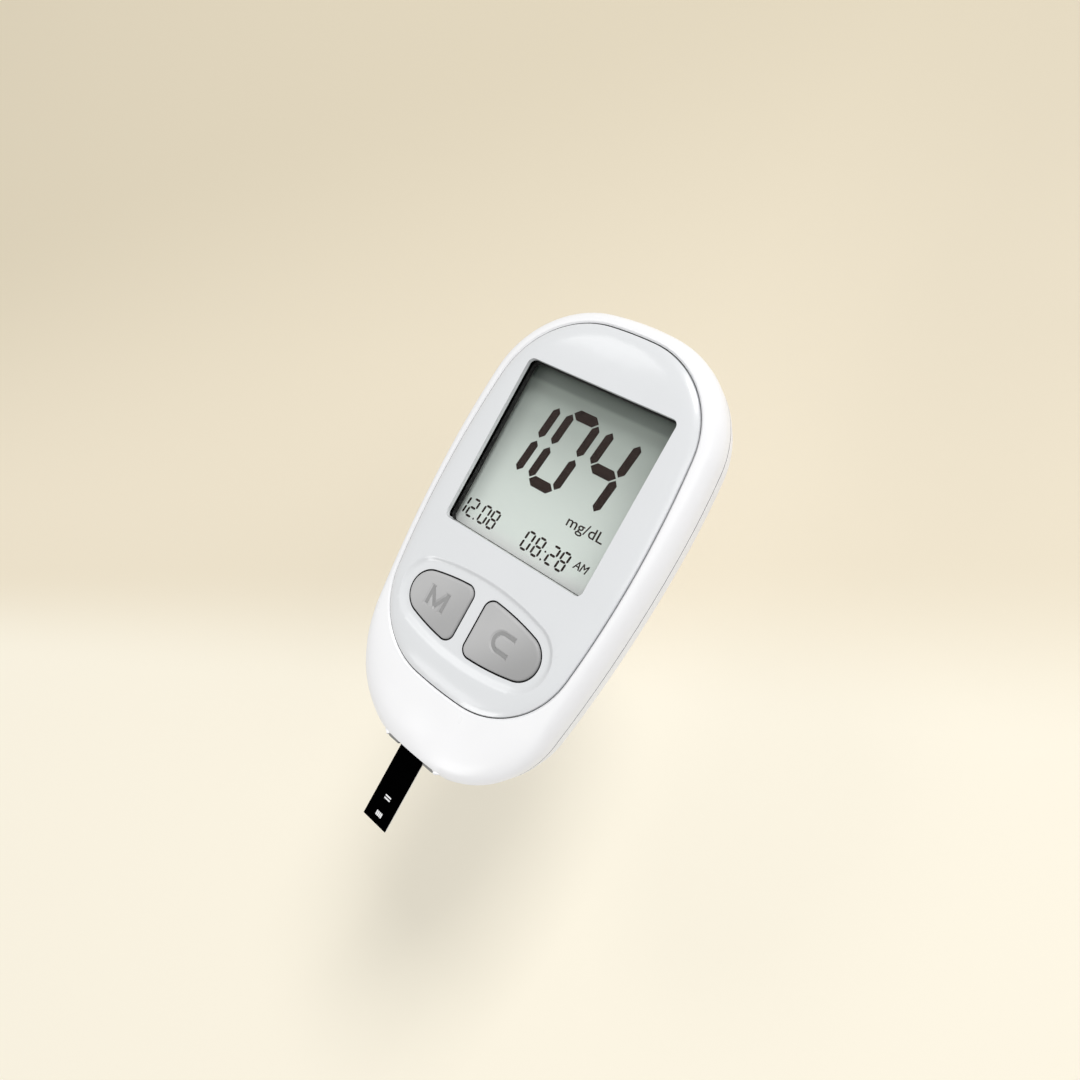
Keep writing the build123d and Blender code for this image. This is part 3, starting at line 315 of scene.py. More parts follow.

# %% [markdown]
# ## The painted plate
# The plate is moulded in grey and gets a clear lacquer, so two glosses lie over each other: a
# soft one from the paint and a sharp one from the lacquer, which draws the bright lines along
# the plate's folds. The walls of its openings get a painted shade of dull black, so that the
# display looks set in a deep dark frame.

# %% Plate finish
def lacquered_plate(tree, place):
    patch = add(tree, "ShaderNodeTexNoise", {"Vector": place, "Scale": 1 / (8 * MM),
                                             "Detail": 2.0}).outputs["Fac"]
    paint = add(tree, "ShaderNodeMix", {0: patch, 6: colour("#E1E3E5"), 7: colour("#DEE0E2")},
                data_type="RGBA").outputs[2]
    grain = add(tree, "ShaderNodeTexNoise", {"Vector": place, "Scale": 1 / (0.3 * MM)})
    relief = add(tree, "ShaderNodeBump", {"Height": grain.outputs["Fac"], "Strength": 1.0,
                                          "Distance": 0.001 * MM}).outputs["Normal"]
    return add(tree, "ShaderNodeBsdfPrincipled", {
        "Base Color": paint, "Roughness": 0.34, "Normal": relief, "Coat Weight": 1.0,
        "Coat Roughness": 0.15, "Specular IOR Level": 0.35}).outputs[0]


grey_plate = material("silver_grey_abs_lacquered", lacquered_plate)
seam_painted_shade = material("white_abs_seam_painted_shade", plastic("#3A3A3C", "#343436", 0.8))
wall_painted_shade = material("dull_black_wall_painted_shade", plastic("#020202", "#040404", 0.9, 2.0, 0.3,
                                                          0.002, 0.02))

# %% [markdown]
# ## Metals
# Steel screws are cold-headed and plated, contact springs are rolled strip with a fine
# lengthwise grain, and the strip's springs are gold plated. A metal's colour lives in its
# reflection, so only tone, roughness and grain set them apart.

# %% A metal builder
def metal(tone, roughness, stretch=(1.0, 1.0, 1.0), grain_mm=0.3):
    """Builds a metal whose grain is drawn out along an axis."""
    def build(tree, place):
        drawn = add(tree, "ShaderNodeMapping", {"Vector": place, "Scale": stretch})
        grain = add(tree, "ShaderNodeTexNoise", {"Vector": drawn.outputs["Vector"],
                                                 "Scale": 1 / (grain_mm * MM),
                                                 "Detail": 3.0}).outputs["Fac"]
        gloss = add(tree, "ShaderNodeMapRange", {"Value": grain, "From Min": 0.3,
                                                 "From Max": 0.7, "To Min": roughness * 0.7,
                                                 "To Max": roughness * 1.3}).outputs["Result"]
        relief = add(tree, "ShaderNodeBump", {"Height": grain, "Strength": 0.6,
                                              "Distance": 0.003 * MM}).outputs["Normal"]
        return add(tree, "ShaderNodeBsdfPrincipled", {
            "Base Color": colour(tone), "Metallic": 1.0, "Roughness": gloss,
            "Normal": relief}).outputs[0]
    return build


bright_steel = material("steel_zinc_plated", metal("#C6C8CA", 0.3))
nickel_strip = material("nickel_plated_rolled_strip", metal("#C9C6BE", 0.25, (1.0, 1.0, 0.1)))
gold_strip = material("gold_plated_rolled_strip", metal("#E3BE6A", 0.25, (1.0, 0.1, 1.0)))


# %% [markdown]
# ## The display
# A reflective display is a stack. A clear lens keeps dust out, two glass panes hold the
# liquid crystal, and a grey-green polariser and reflector behind it give the pale ground.
# The lens and the front pane let light straight through and mirror a little where it enters.
# They don't mirror where it leaves, because a clear shader doesn't bend light, and would
# throw back most of it there. The ground is painted lighter towards the bottom and darker
# towards the top and the left, as painted light and shade from the deep frame.

# %% Glass, lens and ground
def clear_sheet(roughness, mirror):
    """Builds a thin clear sheet, which shows what is behind it and mirrors a little."""
    def build(tree, place):
        film = add(tree, "ShaderNodeTexNoise", {"Vector": place, "Scale": 1 / (4 * MM)})
        haze = add(tree, "ShaderNodeMapRange", {"Value": film.outputs["Fac"],
                                                "To Min": roughness * 0.8,
                                                "To Max": roughness * 1.2}).outputs["Result"]
        clear = add(tree, "ShaderNodeBsdfTransparent", {}).outputs[0]
        gloss = add(tree, "ShaderNodeBsdfGlossy", {"Roughness": haze}).outputs[0]
        edge = add(tree, "ShaderNodeFresnel", {"IOR": mirror}).outputs[0]
        inside = add(tree, "ShaderNodeNewGeometry", {}).outputs["Backfacing"]
        outside = add(tree, "ShaderNodeMath", {0: 1.0, 1: inside},
                      operation="SUBTRACT").outputs[0]
        share = add(tree, "ShaderNodeMath", {0: edge, 1: outside},
                    operation="MULTIPLY").outputs[0]
        return add(tree, "ShaderNodeMixShader", {0: share, 1: clear, 2: gloss}).outputs[0]
    return build


WINDOW_Y_MM = (-3.0, 32.0)                # the display's lower and upper edge
LEFT_SHADE_X_MM = (-13.0, -18.5)          # where the frame's shade starts and is full


def display_ground(tree, place):
    axes = add(tree, "ShaderNodeSeparateXYZ", {"Vector": place})
    height = add(tree, "ShaderNodeMapRange", {"Value": axes.outputs["Y"],
                                              "From Min": WINDOW_Y_MM[0] * MM,
                                              "From Max": WINDOW_Y_MM[1] * MM})
    # painted light and shade: near white at the bottom, dark at the top, with a darker band
    # along the top edge
    ground = add(tree, "ShaderNodeValToRGB", {"Fac": height.outputs["Result"]})
    ramp = ground.color_ramp.elements
    ramp[0].color, ramp[1].color = colour("#FCFFFC"), colour("#757E77")
    for level, tone in ((0.10, "#F0F9F2"), (0.22, "#E3ECE5"), (0.52, "#CAD3CC"),
                        (0.72, "#AEB7B0"), (0.905, "#A3ADA5"), (0.925, "#858F88")):
        ramp.new(level).color = colour(tone)
    # painted shade of the frame along the left side
    left = add(tree, "ShaderNodeMapRange", {"Value": axes.outputs["X"],
                                            "From Min": LEFT_SHADE_X_MM[0] * MM,
                                            "From Max": LEFT_SHADE_X_MM[1] * MM,
                                            "To Max": 0.10},
               interpolation_type="SMOOTHSTEP").outputs["Result"]
    tone = add(tree, "ShaderNodeMix", {0: left, 6: ground.outputs["Color"],
                                       7: colour("#6F7A73")}, data_type="RGBA").outputs[2]
    speckle = add(tree, "ShaderNodeTexNoise", {"Vector": place, "Scale": 1 / (0.3 * MM)})
    gloss = add(tree, "ShaderNodeMapRange", {"Value": speckle.outputs["Fac"], "To Min": 0.45,
                                             "To Max": 0.65}).outputs["Result"]
    return add(tree, "ShaderNodeBsdfPrincipled", {
        "Base Color": tone, "Roughness": gloss, "Specular IOR Level": 0.2}).outputs[0]


lens_clear = material("clear_acrylic_cast", clear_sheet(0.03, 1.35))
glass_clear = material("display_glass_polished", clear_sheet(0.02, 1.1))
ground_film = material("polariser_film_grey_green_painted_shade", display_ground)
liquid_crystal = material("liquid_crystal_dark", plastic("#2B1D1A", "#251815", 0.7, 1.0, 0.4,
                                                         0.001, 0.05))
mirror_film = material("aluminised_film_matt", metal("#C4C8C6", 0.45))
print("display's ground has", len(ground_film.node_tree.nodes), "nodes")


# %% [markdown]
# ## The circuit board and the cells
# A board is woven glass in green resin with a pattern of copper tracks under the varnish, and
# the rubber bars that feed the display are striped carbon and silicone, 0.1 mm a stripe. Each
# cell wears a printed sleeve with bare steel at its ends.

# %% Board, rubber bars and cells
def solder_mask(tree, place):
    tracks = add(tree, "ShaderNodeTexBrick", {
        "Vector": place, "Color1": colour("#14603A"), "Color2": colour("#17693F"),
        "Mortar": colour("#0E4A2C"), "Scale": 1 / (4.0 * MM), "Mortar Size": 0.05,
        "Brick Width": 0.9, "Row Height": 0.35})
    weave = add(tree, "ShaderNodeTexNoise", {"Vector": place, "Scale": 1 / (0.4 * MM)})
    relief = add(tree, "ShaderNodeBump", {"Height": weave.outputs["Fac"], "Strength": 0.5,
                                          "Distance": 0.01 * MM}).outputs["Normal"]
    return add(tree, "ShaderNodeBsdfPrincipled", {
        "Base Color": tracks.outputs["Color"], "Roughness": 0.35, "Normal": relief}).outputs[0]


WAVE_LENGTH = 0.314                       # of the wave texture at a scale of 1
STRIPE_PAIR_MM = 0.2


def striped_rubber(tree, place):
    stripes = add(tree, "ShaderNodeTexWave", {"Vector": place,
                                              "Scale": WAVE_LENGTH / (STRIPE_PAIR_MM * MM)},
                  wave_type="BANDS", bands_direction="X").outputs["Fac"]
    tone = add(tree, "ShaderNodeMix", {0: stripes, 6: colour("#1A1A1A"), 7: colour("#C9A9A0")},
               data_type="RGBA").outputs[2]
    return add(tree, "ShaderNodeBsdfPrincipled", {"Base Color": tone,
                                                  "Roughness": 0.6}).outputs[0]


CELL_MIDDLE_Y_MM = 3.6
SLEEVE_REACH_MM = 20.8                    # half of the sleeve's length
BAND_FROM_MM = 17.2                       # the coloured band runs from here to the end


def sleeve(way):
    """Builds a cell's printed sleeve. way is the side of its positive end along Y."""
    def build(tree, place):
        axes = add(tree, "ShaderNodeSeparateXYZ", {"Vector": place})
        band = add(tree, "ShaderNodeMath", {0: axes.outputs["Y"], 1: way * BAND_FROM_MM * MM},
                   operation="GREATER_THAN" if way > 0 else "LESS_THAN").outputs[0]
        print_tone = add(tree, "ShaderNodeMix", {0: band, 6: colour("#23262B"),
                                                 7: colour("#B4793B")},
                         data_type="RGBA").outputs[2]
        middle = add(tree, "ShaderNodeMath", {0: axes.outputs["Y"], 1: CELL_MIDDLE_Y_MM * MM},
                     operation="SUBTRACT").outputs[0]
        reach = add(tree, "ShaderNodeMath", {0: middle}, operation="ABSOLUTE").outputs[0]
        bare = add(tree, "ShaderNodeMath", {0: reach, 1: SLEEVE_REACH_MM * MM},
                   operation="GREATER_THAN").outputs[0]
        tone = add(tree, "ShaderNodeMix", {0: bare, 6: print_tone, 7: colour("#BFC1C3")},
                   data_type="RGBA").outputs[2]
        return add(tree, "ShaderNodeBsdfPrincipled", {
            "Base Color": tone, "Metallic": bare, "Roughness": 0.32}).outputs[0]
    return build


board_green = material("glass_epoxy_board_varnished", solder_mask)
zebra_rubber = material("zebra_silicone_moulded", striped_rubber)
left_sleeve = material("printed_cell_sleeve_left", sleeve(-1))
right_sleeve = material("printed_cell_sleeve_right", sleeve(1))

# %% [markdown]
# ## The test strip
# A strip is polyester film. The carrier is milky, and the cover above it is printed solid
# black with a soft sheen. Near its tip are two small white print marks.

# %% Strip films
white_film = material("polyester_film_milky", plastic("#E6E4DC", "#DEDCD3", 0.35, 3.0))
black_film = material("polyester_film_printed_black", plastic("#010101", "#020202", 0.5, 2.0,
                                                              0.2, 0.001, 0.0))
white_ink = material("white_ink_screen_printed", plastic("#F2F2F2", "#E4E4E4", 0.6, 0.8))

# %% [markdown]
# ## Dress the parts that stay
# Parts whose modelled shape is right as it is only need a finish in their material slot.

# %% Finishes for the parts
FINISHES = {
    "display_lens": lens_clear, "display_gasket": black_foam,
    "display_holder": holder_plastic, "display_rear_glass": ground_film,
    "display_reflector": mirror_film,
    "upper_zebra_strip": zebra_rubber, "lower_zebra_strip": zebra_rubber,
    "main_board": board_green, "microcontroller": black_resin, "amplifier_chip": black_resin,
    "memory_chip": black_resin, "crystal": bright_steel, "chip_capacitors": ceramic,
    "chip_resistors": black_resin, "buzzer": black_socket, "left_cell": left_sleeve,
    "right_cell": right_sleeve, "positive_terminal": nickel_strip,
    "negative_terminal": nickel_strip, "cell_link": nickel_strip,
    "keypad_mat": silicone, "strip_guide": port_plastic, "strip_connector": black_socket,
    "strip_springs": gold_strip, "strip_base": white_film, "strip_cover": black_film,
    "board_screws": bright_steel,
}


def dress(piece, finish):
    """Gives a piece one finish all over."""
    if not piece.data.materials:
        piece.data.materials.append(finish)
    for place in piece.material_slots:
        place.material = finish


for name, finish in FINISHES.items():
    dress(nodes[name], finish)
print("parts dressed:", len(FINISHES))

# %% [markdown]
# ## Smooth mouldings
# An engineering mesh is loose triangles, one patch for each face, and light shows each patch.
# So the outer mouldings are copied, their patches are welded, and the surface is shaded smooth
# wherever it bends by less than a set angle. Real edges stay crisp. Each copy then stands for
# the part that it came from.

# %% Weld and smooth
WELD_MM = 0.001                           # corners nearer than this become one
BEND_DEG = 32.0                           # a sharper bend than this stays an edge


def only(piece):
    """Selects one object alone and makes it active."""
    bpy.ops.object.select_all(action="DESELECT")
    piece.select_set(True)
    bpy.context.view_layer.objects.active = piece


def pick(kind, rule):
    """Selects the vertices, edges or faces of the mesh in edit mode that meet a rule."""
    mesh = bmesh.from_edit_mesh(bpy.context.edit_object.data)
    bpy.ops.mesh.select_all(action="DESELECT")
    for part in getattr(mesh, kind):
        if rule(part):
            part.select_set(True)
    mesh.select_flush_mode()
    bmesh.update_edit_mesh(bpy.context.edit_object.data)


def smooth_copy(node_name, piece_name, finish):
    """A welded, smooth-shaded copy of a part, which stands for it."""
    piece = bpy.data.objects.new(piece_name, nodes[node_name].data.copy())
    bpy.context.scene.collection.objects.link(piece)
    only(piece)
    if piece.data.has_custom_normals:
        bpy.ops.mesh.customdata_custom_splitnormals_clear()
    bpy.ops.object.mode_set(mode="EDIT")
    bpy.ops.mesh.select_all(action="SELECT")
    bpy.ops.mesh.remove_doubles(threshold=WELD_MM * MM)
    bpy.ops.object.mode_set(mode="OBJECT")
    bpy.ops.object.shade_smooth_by_angle(angle=math.radians(BEND_DEG))
    dress(piece, finish)
    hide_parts(node_name)
    return piece


front_shell = smooth_copy("front_case", "front_shell", white_abs)
rear_shell = smooth_copy("rear_cover", "rear_shell", white_abs)
cover_plate = smooth_copy("face_plate", "cover_plate", grey_plate)
door_panel = smooth_copy("battery_door", "door_panel", white_abs)
for piece, body in ((front_shell, "casing"), (rear_shell, "casing"), (cover_plate, "casing"),
                    (door_panel, "door")):
    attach(piece, body)
    print(piece.name, "has", len(piece.data.polygons), "faces")

# %% [markdown]
# ## Ears of the port
# At each end of the strip port the casing ends in a small rounded ear. The modelled ear is a
# plain ball on a rod, so its outer half is drawn in and back to melt into the chin.

# %% Ears
EAR_X_MM, EAR_Y_MM, EAR_FLOOR_MM = 6.8, -44.9, 12.7
EAR_REACH_MM, EAR_TOP_MM = 1.0, 0.2       # its radius, and how far above its middle it goes
EAR_DRAWN_IN = (0.55, 0.45, 1.0)          # what is left of its width, depth and height
EAR_ROOT_MM = 0.6                         # from its middle towards the strip
only(front_shell)
bpy.ops.object.mode_set(mode="EDIT")
for sign in (1, -1):
    middle = Vector((sign * EAR_X_MM, EAR_Y_MM)) * MM
    pick("verts", lambda vertex: (vertex.co.xy - middle).length < EAR_REACH_MM * MM
         and vertex.co.y < middle.y + EAR_TOP_MM * MM and vertex.co.z > EAR_FLOOR_MM * MM)
    count = bpy.context.edit_object.data.total_vert_sel
    root = (middle.x - sign * EAR_ROOT_MM * MM, middle.y, 0)
    bpy.ops.transform.resize(value=EAR_DRAWN_IN, center_override=root)
    print("ear vertices moved:", count)
bpy.ops.object.mode_set(mode="OBJECT")

# %% [markdown]
# ## Black walls in the plate
# The plate's openings go deep, and from a little below the edge their walls get a painted
# shade of dull black. A cut across the plate at that height splits each wall, and the lower
# part is then picked by its place and by its normal, which lies flat. The window's lower wall
# stays grey. The wall of the casing that faces the plate's edge lies in its shade, which is
# painted on it in dark grey, and so draws a thin line.

# %% Black walls
OPENINGS_MM = (                   # middle x and y, reach in x and y, height of the painted black shade
    (0.0, 14.9, 16.9, 17.4, 19.95),
    (0.0, -17.1, 16.6, 6.6, 20.3),
)
only(cover_plate)
bpy.ops.object.mode_set(mode="EDIT")
for *_, edge_z in OPENINGS_MM:
    bpy.ops.mesh.select_all(action="SELECT")
    bpy.ops.mesh.bisect(plane_co=(0, 0, edge_z * MM), plane_no=(0, 0, 1))
bpy.ops.object.mode_set(mode="OBJECT")
# painted shade: the deep walls of the openings get dull black
cover_plate.data.materials.append(wall_painted_shade)
shaded_wall_faces = 0
for face in cover_plate.data.polygons:
    x, y, z = face.center / MM
    inside = any(abs(x - middle_x) < reach_x and abs(y - middle_y) < reach_y and z < edge_z
                 for middle_x, middle_y, reach_x, reach_y, edge_z in OPENINGS_MM)
    if inside and abs(face.normal.z) < 0.5:
        face.material_index = 1
        shaded_wall_faces += 1
print("black wall faces:", shaded_wall_faces)

# %% Shaded seam
RIM_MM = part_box("front_case")[1].z / MM
SEAM_DEPTH_MM = 1.5
SEAM_MIDDLE_Y_MM = 5.0
# painted shade: the casing's wall that faces the plate's edge gets dark grey
front_shell.data.materials.append(seam_painted_shade)
shaded = 0
for face in front_shell.data.polygons:
    x, y, z = face.center / MM
    inward = face.normal.x * x + face.normal.y * (y - SEAM_MIDDLE_Y_MM) < 0
    if inward and abs(face.normal.z) < 0.3 and RIM_MM - SEAM_DEPTH_MM < z < RIM_MM:
        face.material_index = 1
        shaded += 1
print("casing's top at", round(RIM_MM, 2), "and shaded seam faces:", shaded)

# %% [markdown]
# ## The front pane
# The display's front pane is cut from thin polished glass with eased edges. It is a copy of
# the modelled pane, bevelled, and 0.02 mm thinner on each side than it is. Where two clear
# parts share a plane, a ray can't tell which comes first, and a thin gap settles that.

# %% Front pane
LAMINATE_GAP_MM = 0.02
EASED_EDGE_MM = 0.06
pane = smooth_copy("display_front_glass", "front_pane", glass_clear)
low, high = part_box("display_front_glass")
thickness = (high.z - low.z) / MM
bpy.ops.object.mode_set(mode="EDIT")
bpy.ops.mesh.select_all(action="SELECT")
bpy.ops.transform.resize(value=(1, 1, 1 - 2 * LAMINATE_GAP_MM / thickness),
                         center_override=(low + high) / 2)
bpy.ops.object.mode_set(mode="OBJECT")
eased = pane.modifiers.new("eased", "BEVEL")
eased.width = EASED_EDGE_MM * MM
eased.limit_method = "ANGLE"
only(pane)
bpy.ops.object.modifier_apply(modifier=eased.name)
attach(pane, "casing")
heights = [vertex.co.z / MM for vertex in pane.data.vertices]
print("pane from z", round(min(heights), 3), "to", round(max(heights), 3))

# %% [markdown]
# ## Rubber domes
# Each key stands on a hollow silicone dome, which buckles and flattens as the real key goes
# down. Here each dome is a smooth copy that rides with the casing and keeps its shape.

# %% Domes
for dome_node, joint in (("m_key_dome", "m_button_press"), ("c_key_dome", "c_button_press")):
    dome = smooth_copy(dome_node, dome_node + "_rubber", silicone)
    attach(dome, "casing")
    low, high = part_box(dome_node)
    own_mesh(dome)
    print(dome.name, "is", round((high.z - low.z) / MM, 2), "mm high")

# %% [markdown]
# ## Keys with sunk letters
# The two keys are moulded with their letters sunk about a quarter of a millimetre into the
# top. Their strokes are all of one width, as no typeface has them, so the M is four straight
# bars and the C is half a ring with two straight arms. Each bar is a solid that a Boolean cuts
# out of the key, so light falls into it as into the real groove. The walls slope, as a mould
# needs to let go of them, and the floor is painted a little darker, as painted shade.

# %% Letters
DRAFT = 1.0                               # how far a wall leans out over 1 mm of height


def stroke(start, end, width, low):
    """A straight bar between two places, as a tool for carving."""
    run = Vector(end) - Vector(start)
    middle = (Vector(start) + Vector(end)) / 2
    bpy.ops.mesh.primitive_cube_add(size=MM, location=(0, 0, 0))
    piece = bpy.context.active_object
    bpy.ops.object.mode_set(mode="EDIT")
    bpy.ops.transform.resize(value=(run.length, width, 1))
    pick("faces", lambda face: face.normal.z > 0.9)
    bpy.ops.transform.resize(value=(1 + 2 * DRAFT / run.length, 1 + 2 * DRAFT / width, 1))
    bpy.ops.mesh.select_all(action="SELECT")
    bpy.ops.transform.translate(value=(0, 0, (low + 0.5) * MM))
    bpy.ops.object.mode_set(mode="OBJECT")
    piece.data.transform(Matrix.Translation((middle.x * MM, middle.y * MM, 0))
                         @ Matrix.Rotation(math.atan2(run.y, run.x), 4, "Z"))
    return piece


def letter_c(x, y, radius, end, width, low):
    """Half a flat ring, spun from its profile, with its two ends drawn out to the right."""
    centre = Vector((x, y, low)) * MM
    bpy.ops.mesh.primitive_plane_add(size=MM, location=(0, 0, 0))
    piece = bpy.context.active_object
    bpy.ops.object.mode_set(mode="EDIT")
    bpy.ops.transform.resize(value=(1, width, 1))
    bpy.ops.transform.rotate(value=math.radians(90), orient_axis="Y", center_override=(0, 0, 0))
    pick("verts", lambda vertex: vertex.co.z > 0)
    bpy.ops.transform.resize(value=(1, 1 + 2 * DRAFT / width, 1))
    bpy.ops.mesh.select_all(action="SELECT")
    bpy.ops.transform.translate(value=centre + Vector((0, radius, 0.5)) * MM)
    bpy.ops.mesh.spin(steps=24, angle=math.radians(-180), center=centre, axis=(0, 0, 1))
    bpy.ops.mesh.select_all(action="SELECT")
    bpy.ops.mesh.remove_doubles(threshold=WELD_MM * MM)
    bpy.ops.mesh.normals_make_consistent(inside=False)
    pick("faces", lambda face: face.normal.x > 0.99)
    bpy.ops.mesh.extrude_region_move(TRANSFORM_OT_translate={"value": ((end - x) * MM, 0, 0)})
    pick("verts", lambda vertex: vertex.co.x > (end - 0.1) * MM and vertex.co.z > centre.z
         + 0.5 * MM)
    bpy.ops.transform.translate(value=(DRAFT * MM, 0, 0))
    bpy.ops.object.mode_set(mode="OBJECT")
    xs = [vertex.co.x / MM for vertex in piece.data.vertices]
    print("letter C from x", round(min(xs), 2), "to", round(max(xs), 2))
    return piece


def carve(piece, tool):
    """Cuts a tool's solid out of a piece and removes the tool."""
    only(piece)
    cut = piece.modifiers.new("cut", "BOOLEAN")
    cut.operation = "DIFFERENCE"
    cut.object = tool
    bpy.ops.object.modifier_apply(modifier=cut.name)
    bpy.data.objects.remove(tool)
    bpy.ops.object.shade_smooth_by_angle(angle=math.radians(BEND_DEG))


# %% Carve the keys
KEY_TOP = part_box("m_button")[1].z / MM
LETTER_DEPTH = 0.3
LETTER_FLOOR = KEY_TOP - LETTER_DEPTH
LETTER_STROKE = 0.72
m_key = smooth_copy("m_button", "m_key_cap", m_key_grey)
c_key = smooth_copy("c_button", "c_key_cap", c_key_grey)
M_LEFT, M_RIGHT, M_BASE, M_TOP = -10.95, -7.1, -18.95, -15.25
M_MIDDLE = (M_LEFT + M_RIGHT) / 2
for start, end in (((M_LEFT, M_BASE), (M_LEFT, M_TOP)), ((M_RIGHT, M_BASE), (M_RIGHT, M_TOP)),
                   ((M_LEFT, M_TOP - 0.35), (M_MIDDLE, M_BASE + 0.35)),
                   ((M_RIGHT, M_TOP - 0.35), (M_MIDDLE, M_BASE + 0.35))):
    carve(m_key, stroke(start, end, LETTER_STROKE, LETTER_FLOOR))
C_X, C_Y, C_RADIUS, C_END = 7.3, -16.9, 1.7, 9.6
carve(c_key, letter_c(C_X, C_Y, C_RADIUS, C_END, LETTER_STROKE, LETTER_FLOOR))

# %% Tone the letters
for piece, body in ((m_key, "m_key"), (c_key, "c_key")):
    # painted shade: the letter floors get the darker grey
    piece.data.materials.append(letter_floor_shade)
    sunk = 0
    for face in piece.data.polygons:
        if face.normal.z > 0.9 and abs(face.center.z - LETTER_FLOOR * MM) < 0.01 * MM:
            face.material_index = 1
            sunk += 1
    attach(piece, body)
    print(piece.name, "has", len(piece.data.polygons), "faces,", sunk, "of them sunk")

# %% [markdown]
# ## Display segments
# Each numeral is up to seven bars. A bar is a hexagon, pulled long by moving its upper half,
# because six corners give the pointed ends at once. The bars lie in the liquid crystal
# between the panes and lean a few degrees to the right.

# %% One bar
BAR_THICKNESS = 0.01
CRYSTAL_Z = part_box("display_rear_glass")[1].z / MM


def bar(length, width):
    """A hexagonal bar along Y, from tip to tip, centred on the origin."""
    radius = width / math.sqrt(3)
    bpy.ops.mesh.primitive_circle_add(vertices=6, radius=radius * MM, fill_type="NGON",
                                      location=(0, 0, 0))
    piece = bpy.context.active_object
    stretch = (length - width - radius) / 2
    sharpen = (width - radius) / 2
    bpy.ops.object.mode_set(mode="EDIT")
    for sign in (1, -1):
        pick("verts", lambda vertex: vertex.co.y * sign > 0)
        bpy.ops.transform.translate(value=(0, sign * stretch * MM, 0))
        pick("verts", lambda vertex: vertex.co.y * sign > 0 and abs(vertex.co.x) < WELD_MM * MM)
        bpy.ops.transform.translate(value=(0, sign * sharpen * MM, 0))
    bpy.ops.mesh.select_all(action="SELECT")
    bpy.ops.mesh.extrude_region_move(
        TRANSFORM_OT_translate={"value": (0, 0, BAR_THICKNESS * MM)})
    bpy.ops.mesh.select_all(action="SELECT")
    bpy.ops.mesh.normals_make_consistent(inside=False)
    bpy.ops.object.mode_set(mode="OBJECT")
    return piece


# %% Numerals
SEGMENT_PLACES = {"a": (0, 1, True), "b": (1, 0.5, False), "c": (1, -0.5, False),
                  "d": (0, -1, True), "e": (-1, -0.5, False), "f": (-1, 0.5, False),
                  "g": (0, 0, True)}
LIT = {"0": "abcdef", "1": "bc", "2": "abdeg", "4": "bcfg", "8": "abcdefg"}


def copy_of(piece, matrix):
    """A copy with its own mesh, put in place by a matrix."""
    twin = bpy.data.objects.new(piece.name, piece.data.copy())
    twin.data.transform(matrix)
    bpy.context.scene.collection.objects.link(twin)
    return twin


def numeral(mark, x, y, half_width, half_height, upright, flat, lean):
    """The lit bars of one numeral, centred on x and y."""
    bars = []
    for segment in LIT[mark]:
        column, row, lying = SEGMENT_PLACES[segment]
        turn = Matrix.Rotation(math.radians(90), 4, "Z") if lying else Matrix.Identity(4)
        shift = Matrix.Translation((column * half_width * MM, row * half_height * MM, 0))
        shear = Matrix.Identity(4)
        shear[0][1] = 0.0 if lying else lean
        bars.append(copy_of(flat if lying else upright,
                            Matrix.Translation((x * MM + row * half_height * lean * MM,
                                                y * MM, CRYSTAL_Z * MM))
                            @ shift @ shear @ turn))
    return bars


def joined(parts, name, finish):
    """Joins the parts into one piece in the display."""
    bpy.ops.object.select_all(action="DESELECT")
    for part in parts:
        part.select_set(True)
    bpy.context.view_layer.objects.active = parts[0]
    bpy.ops.object.join()
    piece = bpy.context.active_object
    piece.name = name
    dress(piece, finish)
    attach(piece, "casing")
    return piece


# %% The reading
READING_Y = 18.55
big_upright, big_flat = bar(6.75, 1.75), bar(5.75, 2.1)
reading = []
for mark, x in (("1", -12.17), ("0", -2.85), ("4", 6.48)):
    reading += numeral(mark, x, READING_Y, 3.06, 7.39, big_upright, big_flat, 0.125)
print("bars in the reading:", len(reading))
joined(reading, "display_reading", liquid_crystal)

# %% Date and time
CLOCK_Y = 0.85
small_upright, small_flat = bar(1.62, 0.45), bar(1.32, 0.45)
date = []
for mark, x in (("1", -17.05), ("2", -14.65), ("0", -11.55), ("8", -9.2)):
    date += numeral(mark, x, CLOCK_Y, 0.76, 1.8, small_upright, small_flat, 0.1)
clock = []
for mark, x in (("0", -0.3), ("8", 2.3), ("2", 5.7), ("8", 8.15)):
    clock += numeral(mark, x, CLOCK_Y, 0.78, 1.8, small_upright, small_flat, 0.1)
dot = bar(0.5, 0.45)
date.append(copy_of(dot, Matrix.Translation((-13.4 * MM, -0.95 * MM, CRYSTAL_Z * MM))))
for x, y in ((4.05, 0.8), (3.87, -0.9)):
    clock.append(copy_of(dot, Matrix.Translation((x * MM, y * MM, CRYSTAL_Z * MM))))
joined(date, "display_date", liquid_crystal)
joined(clock, "display_time", liquid_crystal)
for spare in (big_upright, big_flat, small_upright, small_flat, dot):
    bpy.data.objects.remove(spare)
print("bars and dots in the date and the time:", len(date) + len(clock))

# %% [markdown]
# ## Words on the display
# The unit and the morning mark are fixed outlines etched into the same layer, so they are
# drawn as type, made into solids and fitted to their width and height.

# %% Type as solids
TYPE_WELD_MM = 0.02                       # corners nearer than this become one


